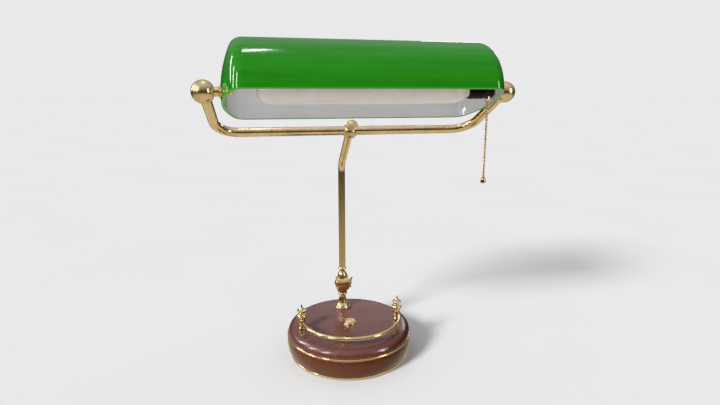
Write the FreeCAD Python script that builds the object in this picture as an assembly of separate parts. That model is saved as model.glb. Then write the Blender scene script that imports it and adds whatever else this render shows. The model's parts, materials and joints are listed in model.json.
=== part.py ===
import FreeCAD, Part
import math
import os

# Banker's desk lamp. Millimetres, +Z up. The origin is the centre of the base's underside, the lamp's
# front is -Y, and the pull chain hangs at the +X end of the shade.

# ---- Clearances ------------------------------------------------------------------------------------
FIT = 0.05                # radial running fit of a pin in its bore
SEAT = 0.02               # radial gap of a piece that is pressed or screwed home
SLACK = 0.3               # gap between faces that pass each other

# ---- Base ------------------------------------------------------------------------------------------
BASE_H = 42.0             # top board's upper face
BASE_R = 85.0             # widest radius of the turned wood
BULGE_Z = 19.0            # height near that widest radius
FOOT_R = 80.6             # wood at the bottom band
WAIST_R = 84.2            # wood just below the inlay ring
BOARD_R = 83.6            # top board above the inlay ring
SHOULDER_R = 10.0         # rounding of the top board's edge
FELT_R = 77.0
FELT_T = 1.5
BAND_H = 2.2              # brass band round the foot
BAND_T = 2.5
BAND_PROUD = 0.4
INLAY_Z = 28.2            # underside of the inlay ring and of the top board
INLAY_H = 2.6
INLAY_T = 3.0
INLAY_PROUD = 0.75
CAVITY_R = 64.0           # hollow for the ballast and the wiring
BALLAST_T = 11.0
BALLAST_BOSS_R = 7.0
BALLAST_SCREW_PCD_R = 50.0
BALLAST_SCREW_R = 2.5
BALLAST_SCREW_HEAD_R = 4.6
BALLAST_SCREW_HEAD_H = 3.0
BALLAST_SCREW_BITE = 8.0  # thread in the top board
BALLAST_SCREWS = 3

# ---- Cord inlet, at the back -----------------------------------------------------------------------
INLET_Z = 18.4
INLET_R = 3.3
BUSH_R = 4.9
BUSH_FLANGE_R = 7.0
BUSH_FLANGE_T = 2.0
BUSH_SINK = 1.2           # depth of the flat that the flange sits on, behind the widest radius

# ---- Gallery rail and push button ------------------------------------------------------------------
RAIL_R = 66.2             # half circle through the two posts
RAIL_Y = -8.0
RAIL_Z = 53.6
RAIL_ROD_R = 2.7
RAIL_DEPTH = 2.6          # rail's end inside the post
POST_FOOT_R = 5.2
POST_FOOT_H = 3.4
POST_R = 4.6
POST_COLLAR_Z = 60.6
POST_COLLAR_R = 6.7
POST_COLLAR_H = 5.6
POST_NECK_R = 2.8
POST_TOP_Z = 65.0
POST_STUD_R = 1.9
POST_STUD_BITE = 9.0
FINIAL_R = 6.0
FINIAL_H = 12.0
FINIAL_DOWEL_R = 1.5
FINIAL_DOWEL_L = 3.0

BUTTON_Y = -5.0
BUTTON_R = 7.3
BUTTON_TOP_Z = 48.0
BUTTON_DOME_H = 2.6
BUTTON_TRAVEL = 2.5
BUTTON_STEM_R = 2.0
BUTTON_STEM_L = 6.0       # stem inside the switch
BEZEL_R = 9.0
BEZEL_H = 2.2
BEZEL_BARREL_R = 8.4
SWITCH_H = 13.0

# ---- Column foot and tilting knuckle ---------------------------------------------------------------
COLUMN_Y = 48.3
FLANGE_R = 11.9
FLANGE_H = 7.8
BELL_TOP_Z = 60.8
BELL_R = 6.2
BELL_NECK_R = 4.8
NIPPLE_R = 3.6
NIPPLE_BORE_R = 2.4
NIPPLE_TOP_Z = 67.5
NIPPLE_NUT_R = 7.5        # across corners
NIPPLE_NUT_H = 4.0
KNUCKLE_Z = 79.6
KNUCKLE_R = 10.2          # round eyes of fork and tongue
CHEEK_T = 2.5
TONGUE_W = 11.4
FORK_RING_Z = 64.4
FORK_RING_R = 6.8
FORK_FLOOR_Z = 70.4
BOLT_R = 2.5
BOLT_HEAD_R = 4.6
BOLT_HEAD_H = 2.4
WASHER_R = 5.4
WASHER_T = 0.7
WING_HUB_R = 4.2
WING_HUB_L = 3.6
WING_R = 2.5
WING_TURN = 24.0          # degrees, how the nut was left
WING_SPAN = 10.6          # wing tip from the bolt's axis
WING_T = 1.8
BOLT_TAIL = 0.8

# ---- Column ----------------------------------------------------------------------------------------
TUBE_R = 4.75
TUBE_WALL = 1.0
TONGUE_STEM_R = 5.5
TONGUE_BELL_Z = 90.6
TONGUE_BELL_R = 7.0
TONGUE_BELL_H = 7.6
TONGUE_NECK_R = 3.7
COLLAR_Z = 101.2
COLLAR_H = 2.8
SPIGOT_L = 8.0
COLLAR_R = 5.8
BEND_Z = 255.7
BEND_R = 24.0
CLAMP_Y = -11.0
CLAMP_Z = 305.3
CLAMP_R = 9.6
CLAMP_SET = 1.4           # ball's centre behind the yoke bar's axis, along the arm
TUBE_SOCKET = 1.4         # how far the tube enters the clamp ball
SCREW_R = 2.5
SCREW_NECK_R = 4.2
SCREW_HEAD_R = 7.25
SCREW_HEAD_T = 2.9
SCREW_HEAD_AT = 13.9      # head's inner face from the yoke bar's axis
SCREW_RISE = 29.0         # degrees above level, towards the front

# ---- Yoke ------------------------------------------------------------------------------------------
YOKE_R = 5.6
YOKE_WALL = 1.1
YOKE_HALF = 160.0         # corner of the bent bar
YOKE_BEND_R = 28.0
PIVOT_X = 166.5           # ball centres
PIVOT_Y = -87.6
PIVOT_Z = 352.3
YOKE_BALL_R = 12.1
YOKE_SOCKET = 3.5
YOKE_BALL_FACE = 9.6      # flat towards the shade, from the ball's centre

# ---- Shade -----------------------------------------------------------------------------------------
SHADE_R = 58.0
SHADE_HALF = 126.0        # half the straight length
DOME_DEPTH = 23.5         # the dished ends beyond it
DOME_CORNER_R = 14.0      # rounding from the barrel into the dished end
SHADE_DROP = 4.5          # half circle's centre below the pivot
RIM_DROP = 10.0           # rim below the half circle's centre
SHADE_TILT = 17.4         # degrees, opening turned towards the front
GLASS_T = 2.2
OPAL_T = 1.3
RIM_ROUND = 0.6
STUD_R = 3.6
STUD_HOLE_GAP = 0.3
SPACER_R = 5.0
SHADE_WASHER_R = 7.2
SHADE_WASHER_T = 1.2
INNER_WASHER_R = 5.8
INNER_WASHER_T = 1.0
SHADE_NUT_R = 5.2         # across corners
SHADE_NUT_T = 3.0
STUD_TAIL = 1.5

# ---- Socket, bulb and pull chain -------------------------------------------------------------------
LAMP_SET = 13.0           # bulb's axis in front of the pivot's
LAMP_Z = 353.0
SOCKET_R = 8.0
SOCKET_FACE_X = 115.6
SOCKET_WALL = 1.1
SOCKET_RIB_R = 8.3
SOCKET_RIBS = 6
CAP_R = 7.6
CAP_LEN = 11.0
CAP_END_T = 2.4
EAR_T = 2.4
EAR_R = 5.6
BULB_R = 13.5
BULB_TIP_X = -114.0
BULB_SHOULDER_X = 96.0
BULB_NECK_X = 112.0
BULB_NECK_R = 6.4
BULB_WALL = 0.9
BULB_CAP_R = 6.0
BULB_CAP_LEN = 14.0
BULB_SEAT = 1.2           # bulb's glass ends this far in front of the socket
FILAMENT_R = 0.7
LEAD_R = 0.45
LEAD_SET = 5.2            # return lead under the coil
CHAIN_X = 138.0
CHAIN_Y = -103.5
MOUTH_TOP_Z = 348.0
MOUTH_Z = 342.8
MOUTH_R = 2.75
MOUTH_BODY_R = 2.4
MOUTH_BORE_R = 1.8
BEAD_R = 1.45
BEAD_PITCH = 3.5
CHAIN_WIRE_R = 0.5
LINK_BEAD_Z = 342.5       # bead at the mouth, where the chain swings
LINK_BEADS = 3
CHAIN_END_Z = 256.0       # no bead lower than this
END_BELL_R = 3.0
END_BELL_H = 7.4

# ---- Worked out from the values above --------------------------------------------------------------
RIGHT = (1, 0, 0)
BACK = (0, 1, 0)
UP = (0, 0, 1)
DOWN = (0, 0, -1)
SIDES = (("left", -1), ("right", 1))
BAND_R = FOOT_R + BAND_PROUD
KNUCKLE = (0, COLUMN_Y, KNUCKLE_Z)
FORK_INNER = TONGUE_W / 2 + SLACK
FORK_OUTER = FORK_INNER + CHEEK_T
SWITCH_TOP_Z = BASE_H - 8.0
TUBE_BORE_R = TUBE_R - TUBE_WALL
CLAMP = (0, CLAMP_Y, CLAMP_Z)
SHADE_T = GLASS_T + OPAL_T
PIVOT = (0, PIVOT_Y, PIVOT_Z)
LAMP_Y = PIVOT_Y - LAMP_SET


def V(point):
    return FreeCAD.Vector(*point)


ARM_RUN = V(CLAMP) - V((0, COLUMN_Y, BEND_Z))
ARM_WAY = tuple(ARM_RUN * (1 / ARM_RUN.Length))
CLAMP_BALL = tuple(V(CLAMP) - V(ARM_WAY) * CLAMP_SET)
SCREW_WAY = (0, -math.cos(math.radians(SCREW_RISE)), math.sin(math.radians(SCREW_RISE)))
YOKE_CORNERS = {side: (side * YOKE_HALF, CLAMP_Y, CLAMP_Z) for _, side in SIDES}
YOKE_BALLS = {side: (side * PIVOT_X, PIVOT_Y, PIVOT_Z) for _, side in SIDES}


# ---- Building blocks -------------------------------------------------------------------------------
def placed(shape, origin=(0, 0, 0), way=UP):
    """The shape with its own origin at a point and its own Z axis along a direction."""
    moved = shape.copy()
    moved.Placement = FreeCAD.Placement(V(origin), FreeCAD.Rotation(V(UP), V(way)))
    return moved


def turned(*steps):
    """A solid turned about Z. Each step is a corner (radius, height), or a pair of them: an arc's middle
    and end."""
    def at(corner):
        return FreeCAD.Vector(corner[0], 0, corner[1])

    edges = []
    here = steps[0]
    for step in steps[1:] + (steps[0],):
        if isinstance(step[0], tuple):
            edges.append(Part.Arc(at(here), at(step[0]), at(step[1])).toShape())
            here = step[1]
        else:
            edges.append(Part.LineSegment(at(here), at(step)).toShape())
            here = step
    return Part.Face(Part.Wire(edges)).revolve(V((0, 0, 0)), V(UP), 360)


def rounded_end(radius, top, rounding):
    """Steps for a rounded outer edge, going up the side and in over the top."""
    middle = rounding * (1 - math.sqrt(0.5))
    return ((radius, top - rounding), ((radius - middle, top - middle), (radius - rounding, top)))


def crown(radius, low, height):
    """Steps for a shallow domed top over a rim, ending on the axis."""
    ball = (radius ** 2 + height ** 2) / (2 * height)
    half = math.asin(radius / ball) / 2
    return (ball * math.sin(half), low + height - ball + ball * math.cos(half)), (0, low + height)


def rod(radius, length, origin=(0, 0, 0), way=UP):
    return Part.makeCylinder(radius, length, V(origin), V(way))


def ring(outer, inner, length, origin=(0, 0, 0), way=UP):
    return rod(outer, length, origin, way).cut(rod(inner, length, origin, way))


def hexagon(corner_r, height, bore, origin, way=UP):
    corners = [FreeCAD.Vector(corner_r * math.cos(math.radians(a)), corner_r * math.sin(math.radians(a)), 0)
               for a in range(0, 361, 60)]
    nut = Part.Face(Part.makePolygon(corners)).extrude(FreeCAD.Vector(0, 0, height))
    return placed(nut.cut(rod(bore, height)), origin, way)


def bent_path(points, radius):
    """Straight runs joined by tangent arcs of one radius."""
    points = [V(point) for point in points]
    edges = []
    here = points[0]
    for before, corner, after in zip(points, points[1:], points[2:]):
        arriving = (before - corner).normalize()
        leaving = (after - corner).normalize()
        half = arriving.getAngle(leaving) / 2
        start = corner + arriving * (radius / math.tan(half))
        end = corner + leaving * (radius / math.tan(half))
        inward = (arriving + leaving).normalize()
        middle = corner + inward * (radius / math.sin(half) - radius)
        edges.append(Part.LineSegment(here, start).toShape())
        edges.append(Part.Arc(start, middle, end).toShape())
        here = end
    edges.append(Part.LineSegment(here, points[-1]).toShape())
    return Part.Wire(edges)


def swept(path, radius):
    start = path.Edges[0]
    circle = Part.Circle(start.valueAt(start.FirstParameter), start.tangentAt(start.FirstParameter), radius)
    return path.makePipeShell([Part.Wire(circle.toShape())], True, False)


def tube(path, outer, inner):
    return swept(path, outer).cut(swept(path, inner))


# ---- Base ------------------------------------------------------------------------------------------
def felt_pad():
    return rod(FELT_R, FELT_T)


def bottom_band():
    top = FELT_T + BAND_H
    inner = BAND_R - BAND_T
    return turned((inner, FELT_T), (BAND_R - 0.3, FELT_T), (BAND_R, FELT_T + 0.3), (BAND_R, top - 0.3),
                  (BAND_R - 0.3, top), (inner, top))


def inlet_cut(radius, depth):
    return rod(radius, depth, (0, BASE_R - BUSH_SINK, INLET_Z), (0, -1, 0))


def base_lower():
    band_top = FELT_T + BAND_H
    wood = turned((CAVITY_R, FELT_T), (BAND_R - BAND_T - SEAT, FELT_T), (BAND_R - BAND_T - SEAT, band_top),
                  (FOOT_R, band_top), ((BASE_R, BULGE_Z), (WAIST_R, INLAY_Z)), (CAVITY_R, INLAY_Z))
    spot = rod(BUSH_FLANGE_R + SEAT, 10, (0, BASE_R - BUSH_SINK, INLET_Z), BACK)
    return wood.cut(spot).cut(inlet_cut(BUSH_R + SEAT, BASE_R - BUSH_SINK - CAVITY_R + 5))


def inlay_ring():
    outer = WAIST_R + INLAY_PROUD
    top = INLAY_Z + INLAY_H
    edge = outer - INLAY_PROUD
    return turned((outer - INLAY_T, INLAY_Z), (edge, INLAY_Z), ((outer, INLAY_Z + INLAY_H / 2), (edge, top)),
                  (outer - INLAY_T, top))


def base_top():
    """Turned top board: it rests on the lower body inside the inlay ring and covers the ring."""
    inner = WAIST_R + INLAY_PROUD - INLAY_T - SEAT
    ring_top = INLAY_Z + INLAY_H
    board = turned((0, INLAY_Z), (inner, INLAY_Z), (inner, ring_top), (BOARD_R, ring_top),
                   *rounded_end(BOARD_R, BASE_H, SHOULDER_R), (0, BASE_H))
    holes = [rod(NIPPLE_R + SEAT, BASE_H, (0, COLUMN_Y, 0)),
             rod(BEZEL_BARREL_R + SEAT, BASE_H, (0, BUTTON_Y, 0))]
    for _, side in SIDES:
        holes.append(rod(POST_STUD_R + SEAT, POST_STUD_BITE + 1, (side * RAIL_R, RAIL_Y, BASE_H), DOWN))
    for x, y in ballast_screw_places():
        holes.append(rod(BALLAST_SCREW_R + SEAT, BALLAST_SCREW_BITE + 0.5, (x, y, INLAY_Z)))
    return board.cut(holes)


def ballast_screw_places():
    turns = [math.radians(90 + 360 * (i + 0.5) / BALLAST_SCREWS) for i in range(BALLAST_SCREWS)]
    return [(BALLAST_SCREW_PCD_R * math.cos(a), BALLAST_SCREW_PCD_R * math.sin(a)) for a in turns]


def ballast_plate():
    """Cast iron disc in the hollow, with bosses up to the top board for its screws."""
    plate = rod(CAVITY_R - SLACK, BALLAST_T, (0, 0, FELT_T))
    bosses = [rod(BALLAST_BOSS_R, INLAY_Z - FELT_T, (x, y, FELT_T)) for x, y in ballast_screw_places()]
    plate = plate.fuse(bosses)
    for x, y in ballast_screw_places():
        plate = plate.cut(rod(BALLAST_SCREW_R + SEAT, INLAY_Z, (x, y, 0)))
        plate = plate.cut(rod(BALLAST_SCREW_HEAD_R + SEAT, BALLAST_SCREW_HEAD_H, (x, y, FELT_T)))
    return plate.removeSplitter()


def ballast_screw(x, y):
    head = rod(BALLAST_SCREW_HEAD_R, BALLAST_SCREW_HEAD_H, (x, y, FELT_T))
    return head.fuse(rod(BALLAST_SCREW_R, INLAY_Z + BALLAST_SCREW_BITE - FELT_T, (x, y, FELT_T)))


def cord_bush():
    length = BASE_R - BUSH_SINK - CAVITY_R + 2
    bush = turned((INLET_R, -length), (BUSH_R, -length), (BUSH_R, 0), (BUSH_FLANGE_R, 0),
                  *rounded_end(BUSH_FLANGE_R, BUSH_FLANGE_T, 0.8), (INLET_R + 0.6, BUSH_FLANGE_T),
                  (INLET_R, BUSH_FLANGE_T - 0.6))
    return placed(bush, (0, BASE_R - BUSH_SINK, INLET_Z), BACK)


# ---- Gallery rail and push button ------------------------------------------------------------------
def rail_rod(radius, depth):
    """Rod bent to a half circle round the front, as far into the posts as the depth."""
    lead = (POST_R - depth) / RAIL_R
    start, end = math.pi + lead, 2 * math.pi - lead

    def on_rail(angle):
        return FreeCAD.Vector(RAIL_R * math.cos(angle), RAIL_Y + RAIL_R * math.sin(angle), RAIL_Z)

    return swept(Part.Wire(Part.Arc(on_rail(start), on_rail(1.5 * math.pi), on_rail(end)).toShape()), radius)


def gallery_rail():
    return rail_rod(RAIL_ROD_R, RAIL_DEPTH)


def rail_post(side):
    """Turned post: bead foot, stem with a socket for the rail, and a bellied collar under the finial."""
    foot_top = BASE_H + POST_FOOT_H
    low, high = POST_COLLAR_Z - POST_COLLAR_H / 2, POST_COLLAR_Z + POST_COLLAR_H / 2
    post = turned((0, BASE_H), (POST_FOOT_R - 0.6, BASE_H), ((POST_FOOT_R, BASE_H + POST_FOOT_H / 2),
                  (POST_R, foot_top)), (POST_R, low), ((POST_COLLAR_R, POST_COLLAR_Z), (POST_NECK_R, high)),
                  (POST_NECK_R, POST_TOP_Z), (0, POST_TOP_Z))
    post = placed(post, (side * RAIL_R, RAIL_Y, 0))
    bore = rod(POST_STUD_R + SEAT, POST_FOOT_H + 1.5, (side * RAIL_R, RAIL_Y, BASE_H))
    dowel = rod(FINIAL_DOWEL_R + SEAT, FINIAL_DOWEL_L + 0.2, (side * RAIL_R, RAIL_Y, POST_TOP_Z), DOWN)
    return post.cut([rail_rod(RAIL_ROD_R + SEAT, RAIL_DEPTH + 0.2), bore, dowel])


def post_stud(side):
    low = BASE_H - POST_STUD_BITE
    return rod(POST_STUD_R, POST_STUD_BITE + POST_FOOT_H + 1, (side * RAIL_R, RAIL_Y, low))


def finial(side):
    """Bud that flares to a rounded brim and closes to a slender spike, on a dowel."""
    brim = 3.3
    spike = FINIAL_H * 0.68
    dowel = FINIAL_DOWEL_R
    shape = turned((0, -FINIAL_DOWEL_L), (dowel, -FINIAL_DOWEL_L), (dowel, 0), (POST_NECK_R, 0),
                   ((FINIAL_R - 1.2, 1.0), (FINIAL_R - 0.3, brim - 0.7)),
                   ((FINIAL_R, brim), (FINIAL_R - 0.5, brim + 0.8)),
                   ((FINIAL_R - 2.3, brim + 2.1), (1.3, spike)), (0.6, FINIAL_H - 0.5),
                   crown(0.6, FINIAL_H - 0.5, 0.5))
    return placed(shape, (side * RAIL_R, RAIL_Y, POST_TOP_Z))


def button_bezel():
    bore = BUTTON_R + SLACK
    bezel = turned((bore, SWITCH_TOP_Z), (BEZEL_BARREL_R, SWITCH_TOP_Z), (BEZEL_BARREL_R, BASE_H),
                   (BEZEL_R, BASE_H), *rounded_end(BEZEL_R, BASE_H + BEZEL_H, 0.8), (bore, BASE_H + BEZEL_H))
    return placed(bezel, (0, BUTTON_Y, 0))


def push_button():
    """Domed cap with its stem in the switch below."""
    skirt = SWITCH_TOP_Z + BUTTON_TRAVEL + 1.0
    cap = turned((0, SWITCH_TOP_Z - BUTTON_STEM_L), (BUTTON_STEM_R, SWITCH_TOP_Z - BUTTON_STEM_L),
                 (BUTTON_STEM_R, skirt), (BUTTON_R, skirt), (BUTTON_R, BUTTON_TOP_Z - BUTTON_DOME_H),
                 crown(BUTTON_R, BUTTON_TOP_Z - BUTTON_DOME_H, BUTTON_DOME_H))
    return placed(cap, (0, BUTTON_Y, 0))


def switch_body():
    body = rod(BEZEL_BARREL_R - SLACK, SWITCH_H, (0, BUTTON_Y, SWITCH_TOP_Z), DOWN)
    depth = BUTTON_STEM_L + BUTTON_TRAVEL + 1
    return body.cut(rod(BUTTON_STEM_R + FIT, depth, (0, BUTTON_Y, SWITCH_TOP_Z), DOWN))


# ---- Column foot and knuckle -----------------------------------------------------------------------
def column_flange():
    low = BASE_H
    top = BASE_H + FLANGE_H
    shape = turned((NIPPLE_R + SEAT, low), (FLANGE_R - 0.4, low),
                   ((FLANGE_R, low + 1.6), (FLANGE_R - 0.8, low + 3.2)), (FLANGE_R - 2.0, low + 3.4),
                   ((FLANGE_R - 3.6, low + 6.2), (BELL_R + 0.6, top)), (NIPPLE_R + SEAT, top))
    return placed(shape, (0, COLUMN_Y, 0))


def column_bell():
    low = BASE_H + FLANGE_H
    shape = turned((NIPPLE_R + SEAT, low), (BELL_R - 0.3, low),
                   ((BELL_R, low + 1.8), (BELL_R - 0.4, low + 4.2)),
                   ((BELL_NECK_R + 0.3, BELL_TOP_Z - 3.6), (BELL_NECK_R, BELL_TOP_Z - 1.6)),
                   (BELL_NECK_R, BELL_TOP_Z), (NIPPLE_R + SEAT, BELL_TOP_Z))
    return placed(shape, (0, COLUMN_Y, 0))


def column_nipple():
    low = INLAY_Z - NIPPLE_NUT_H - WASHER_T - 2.5
    return ring(NIPPLE_R, NIPPLE_BORE_R, NIPPLE_TOP_Z - low, (0, COLUMN_Y, low))


def nipple_washer():
    return ring(NIPPLE_NUT_R + 1.5, NIPPLE_R + SEAT, WASHER_T, (0, COLUMN_Y, INLAY_Z), DOWN)


def nipple_nut():
    return hexagon(NIPPLE_NUT_R, NIPPLE_NUT_H, NIPPLE_R + SEAT, (0, COLUMN_Y, INLAY_Z - WASHER_T), DOWN)


def eye(width):
    """Round eye of fork or tongue, centred on the knuckle's axis."""
    return rod(KNUCKLE_R, width, (-width / 2, COLUMN_Y, KNUCKLE_Z), RIGHT)


def knuckle_fork():
    """Ring, tapering body and two round-topped cheeks."""
    body = turned((0, BELL_TOP_Z), (BELL_NECK_R, BELL_TOP_Z), (BELL_NECK_R, FORK_RING_Z - 1.4),
                  ((FORK_RING_R, FORK_RING_Z), (FORK_RING_R - 0.9, FORK_RING_Z + 1.4)),
                  (FORK_RING_R - 0.2, FORK_RING_Z + 1.9), (FORK_RING_R + 1.2, FORK_FLOOR_Z),
                  (FORK_RING_R + 1.2, FORK_FLOOR_Z + 2), (0, FORK_FLOOR_Z + 2))
    body = placed(body, (0, COLUMN_Y, 0))
    cheek_h = KNUCKLE_Z - FORK_FLOOR_Z + 1.2
    block = Part.makeBox(2 * FORK_OUTER, 2 * KNUCKLE_R, cheek_h,
                         FreeCAD.Vector(-FORK_OUTER, COLUMN_Y - KNUCKLE_R, KNUCKLE_Z - cheek_h))
    taper = placed(turned((0, 0), (FORK_RING_R + 0.9, 0), (KNUCKLE_R + 1.4, cheek_h), (0, cheek_h)),
                   (0, COLUMN_Y, KNUCKLE_Z - cheek_h))
    fork = body.fuse([block.common(taper), eye(2 * FORK_OUTER)])
    slot = Part.makeBox(2 * FORK_INNER, 4 * KNUCKLE_R, 3 * KNUCKLE_R,
                        FreeCAD.Vector(-FORK_INNER, COLUMN_Y - 2 * KNUCKLE_R, KNUCKLE_Z))
    slot = slot.fuse(rod(KNUCKLE_R + SLACK, 2 * FORK_INNER, (-FORK_INNER, COLUMN_Y, KNUCKLE_Z), RIGHT))
    fork = fork.cut(slot)
    fork = fork.cut(rod(BOLT_R + SEAT, 3 * FORK_OUTER, (-1.5 * FORK_OUTER, COLUMN_Y, KNUCKLE_Z), RIGHT))
    bore = rod(NIPPLE_R + SEAT, NIPPLE_TOP_Z - BELL_TOP_Z, (0, COLUMN_Y, BELL_TOP_Z))
    lead = rod(NIPPLE_BORE_R, KNUCKLE_Z - BELL_TOP_Z, (0, COLUMN_Y, BELL_TOP_Z))
    return fork.cut([bore, lead]).removeSplitter()


def knuckle_bolt():
    start = FORK_OUTER + WASHER_T
    tail = start + WING_HUB_L + BOLT_TAIL + 0.2
    shape = turned((0, -tail), (BOLT_R - 0.5, -tail), (BOLT_R, 0.5 - tail), (BOLT_R, start),
                   (BOLT_HEAD_R, start), (BOLT_HEAD_R, start + 0.6), crown(BOLT_HEAD_R, start + 0.6, BOLT_HEAD_H - 0.6))
    return placed(shape, KNUCKLE, (-1, 0, 0))


def knuckle_washer(side):
    return ring(WASHER_R, BOLT_R + SEAT, WASHER_T, (side * FORK_OUTER, COLUMN_Y, KNUCKLE_Z), (side, 0, 0))


def wing_nut():
    """Hub with two rounded wings, left at an angle."""
    start = FORK_OUTER + WASHER_T + 0.1
    hub = turned((0, 0), (WING_HUB_R, 0), (WING_HUB_R, 1.2), (WING_HUB_R - 0.8, WING_HUB_L - 0.5),
                 (WING_HUB_R - 1.3, WING_HUB_L), (0, WING_HUB_L))
    foot = WING_HUB_R - 1.6
    reach = WING_SPAN - WING_R
    blade = Part.makeBox(reach - foot, WING_T, WING_R * 1.2, FreeCAD.Vector(foot, -WING_T / 2, 0.6))
    wing = blade.fuse(rod(WING_R, WING_T, (reach, -WING_T / 2, WING_R + 0.4), BACK))
    far_wing = wing.copy()
    far_wing.Placement = FreeCAD.Placement(V((0, 0, 0)), FreeCAD.Rotation(V(UP), 180))
    nut = hub.fuse([wing, far_wing]).cut(rod(BOLT_R + FIT, 3 * WING_HUB_L)).removeSplitter()
    turn = FreeCAD.Rotation(V(UP), V(RIGHT)).multiply(FreeCAD.Rotation(V(UP), WING_TURN))
    nut.Placement = FreeCAD.Placement(FreeCAD.Vector(start, COLUMN_Y, KNUCKLE_Z), turn)
    return nut


def knuckle_tongue():
    """Eye between the cheeks, a bell over it, a neck and a spigot for the tube."""
    spigot = TUBE_BORE_R - SEAT
    bell_top = TONGUE_BELL_Z + TONGUE_BELL_H
    stem = turned((0, KNUCKLE_Z), (TONGUE_STEM_R, KNUCKLE_Z), (TONGUE_STEM_R, TONGUE_BELL_Z),
                  (TONGUE_BELL_R - 0.6, TONGUE_BELL_Z), (TONGUE_BELL_R, TONGUE_BELL_Z + 0.8),
                  ((TONGUE_BELL_R * 0.86, TONGUE_BELL_Z + TONGUE_BELL_H * 0.58), (TONGUE_NECK_R, bell_top)),
                  (TONGUE_NECK_R, COLLAR_Z), (spigot, COLLAR_Z), (spigot, COLLAR_Z + SPIGOT_L),
                  (0, COLLAR_Z + SPIGOT_L))
    tongue = eye(TONGUE_W).fuse(placed(stem, (0, COLUMN_Y, 0)))
    tongue = tongue.cut(rod(BOLT_R + FIT, 2 * TONGUE_W, (-TONGUE_W, COLUMN_Y, KNUCKLE_Z), RIGHT))
    return tongue.cut(rod(NIPPLE_BORE_R, 40, (0, COLUMN_Y, KNUCKLE_Z))).removeSplitter()


def tube_collar():
    low, high = COLLAR_Z, COLLAR_Z + COLLAR_H
    seat = low + 1.0
    bore = TUBE_BORE_R + SEAT
    shape = turned((bore, low), (COLLAR_R - 0.6, low), ((COLLAR_R, (low + high) / 2), (COLLAR_R - 0.6, high)),
                   (TUBE_R + SEAT, high), (TUBE_R + SEAT, seat), (bore, seat))
    return placed(shape, (0, COLUMN_Y, 0))


def column_tube():
    """Tube up from the collar, bent once, then straight into the clamp ball."""
    end = V(CLAMP_BALL) - V(ARM_WAY) * (CLAMP_R - TUBE_SOCKET)
    path = bent_path([(0, COLUMN_Y, COLLAR_Z + 1.0), (0, COLUMN_Y, BEND_Z), tuple(end)], BEND_R)
    return tube(path, TUBE_R, TUBE_BORE_R)


def clamp_ball():
    """Ball bored for the yoke, with a socket for the tube and a threaded hole for the screw."""
    back = tuple(-a for a in ARM_WAY)
    tube_end = tuple(V(CLAMP_BALL) + V(back) * (CLAMP_R - TUBE_SOCKET))
    cuts = [rod(YOKE_R + FIT, 4 * CLAMP_R, (-2 * CLAMP_R, CLAMP_Y, CLAMP_Z), RIGHT),
            rod(TUBE_R + SEAT, CLAMP_R, tube_end, back),
            rod(NIPPLE_BORE_R, CLAMP_R, CLAMP, back),
            rod(SCREW_R + FIT, 2 * CLAMP_R, CLAMP, SCREW_WAY)]
    return Part.makeSphere(CLAMP_R, V(CLAMP_BALL)).cut(cuts)


def clamp_screw():
    """Thumb screw at the front of the ball, its tip close to the yoke bar."""
    tip = YOKE_R + SLACK
    head = SCREW_HEAD_AT
    neck_low = CLAMP_R - CLAMP_SET + 2 * SLACK
    top = head + SCREW_HEAD_T
    screw = turned((0, tip), (SCREW_R - 0.4, tip), (SCREW_R, tip + 0.5), (SCREW_R, neck_low),
                   (SCREW_NECK_R - 0.5, neck_low), (SCREW_NECK_R, neck_low + 0.6),
                   (SCREW_NECK_R - 0.6, head - 0.8), (SCREW_NECK_R + 0.6, head), (SCREW_HEAD_R - 0.9, head),
                   ((SCREW_HEAD_R, head + SCREW_HEAD_T / 2), (SCREW_HEAD_R - 0.9, top)),
                   crown(SCREW_HEAD_R - 0.9, top, 0.6))
    return placed(screw, CLAMP, SCREW_WAY)


# ---- Yoke ------------------------------------------------------------------------------------------
def yoke_tube():
    """One bent tube: bar through the clamp ball, two corners and two arms up to the balls."""
    def arm_end(side):
        ball, corner = V(YOKE_BALLS[side]), V(YOKE_CORNERS[side])
        return tuple(ball - (ball - corner).normalize() * (YOKE_BALL_R - YOKE_SOCKET))

    path = bent_path([arm_end(-1), YOKE_CORNERS[-1], YOKE_CORNERS[1], arm_end(1)], YOKE_BEND_R)
    return tube(path, YOKE_R, YOKE_R - YOKE_WALL)


def yoke_ball(side):
    """End ball with a flat towards the shade, bored for the pivot stud and socketed for the arm."""
    centre, corner = V(YOKE_BALLS[side]), V(YOKE_CORNERS[side])
    back = (corner - centre).normalize()
    ball = Part.makeSphere(YOKE_BALL_R, centre)
    inner = tuple(centre - V(RIGHT) * side * YOKE_BALL_FACE)
    outer = tuple(centre + V(RIGHT) * side * STUD_TAIL)
    ball = ball.cut(rod(YOKE_BALL_R, YOKE_BALL_R, inner, (-side, 0, 0)))
    socket = rod(YOKE_R + SEAT, YOKE_BALL_R, tuple(centre + back * (YOKE_BALL_R - YOKE_SOCKET)), tuple(back))
    bore = rod(STUD_R + FIT, 2 * YOKE_BALL_R, outer, (-side, 0, 0))
    return ball.cut([socket, bore])


# ---- Shade -----------------------------------------------------------------------------------------
def in_shade_frame(shape):
    """From the shade's own frame (half circle's axis on X) to the tilted shade under its pivot."""
    turn = FreeCAD.Rotation(V(RIGHT), -SHADE_TILT)
    centre = V(PIVOT) - turn.multVec(V((0, 0, SHADE_DROP)))
    moved = shape.copy()
    moved.Placement = FreeCAD.Placement(centre, turn)
    return moved


def dish_radius():
    """Radius of the dished end that meets the barrel's corner rounding smoothly."""
    corner = DOME_CORNER_R
    return (DOME_DEPTH ** 2 + SHADE_R ** 2 - 2 * SHADE_R * corner) / (2 * (DOME_DEPTH - corner))


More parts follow.
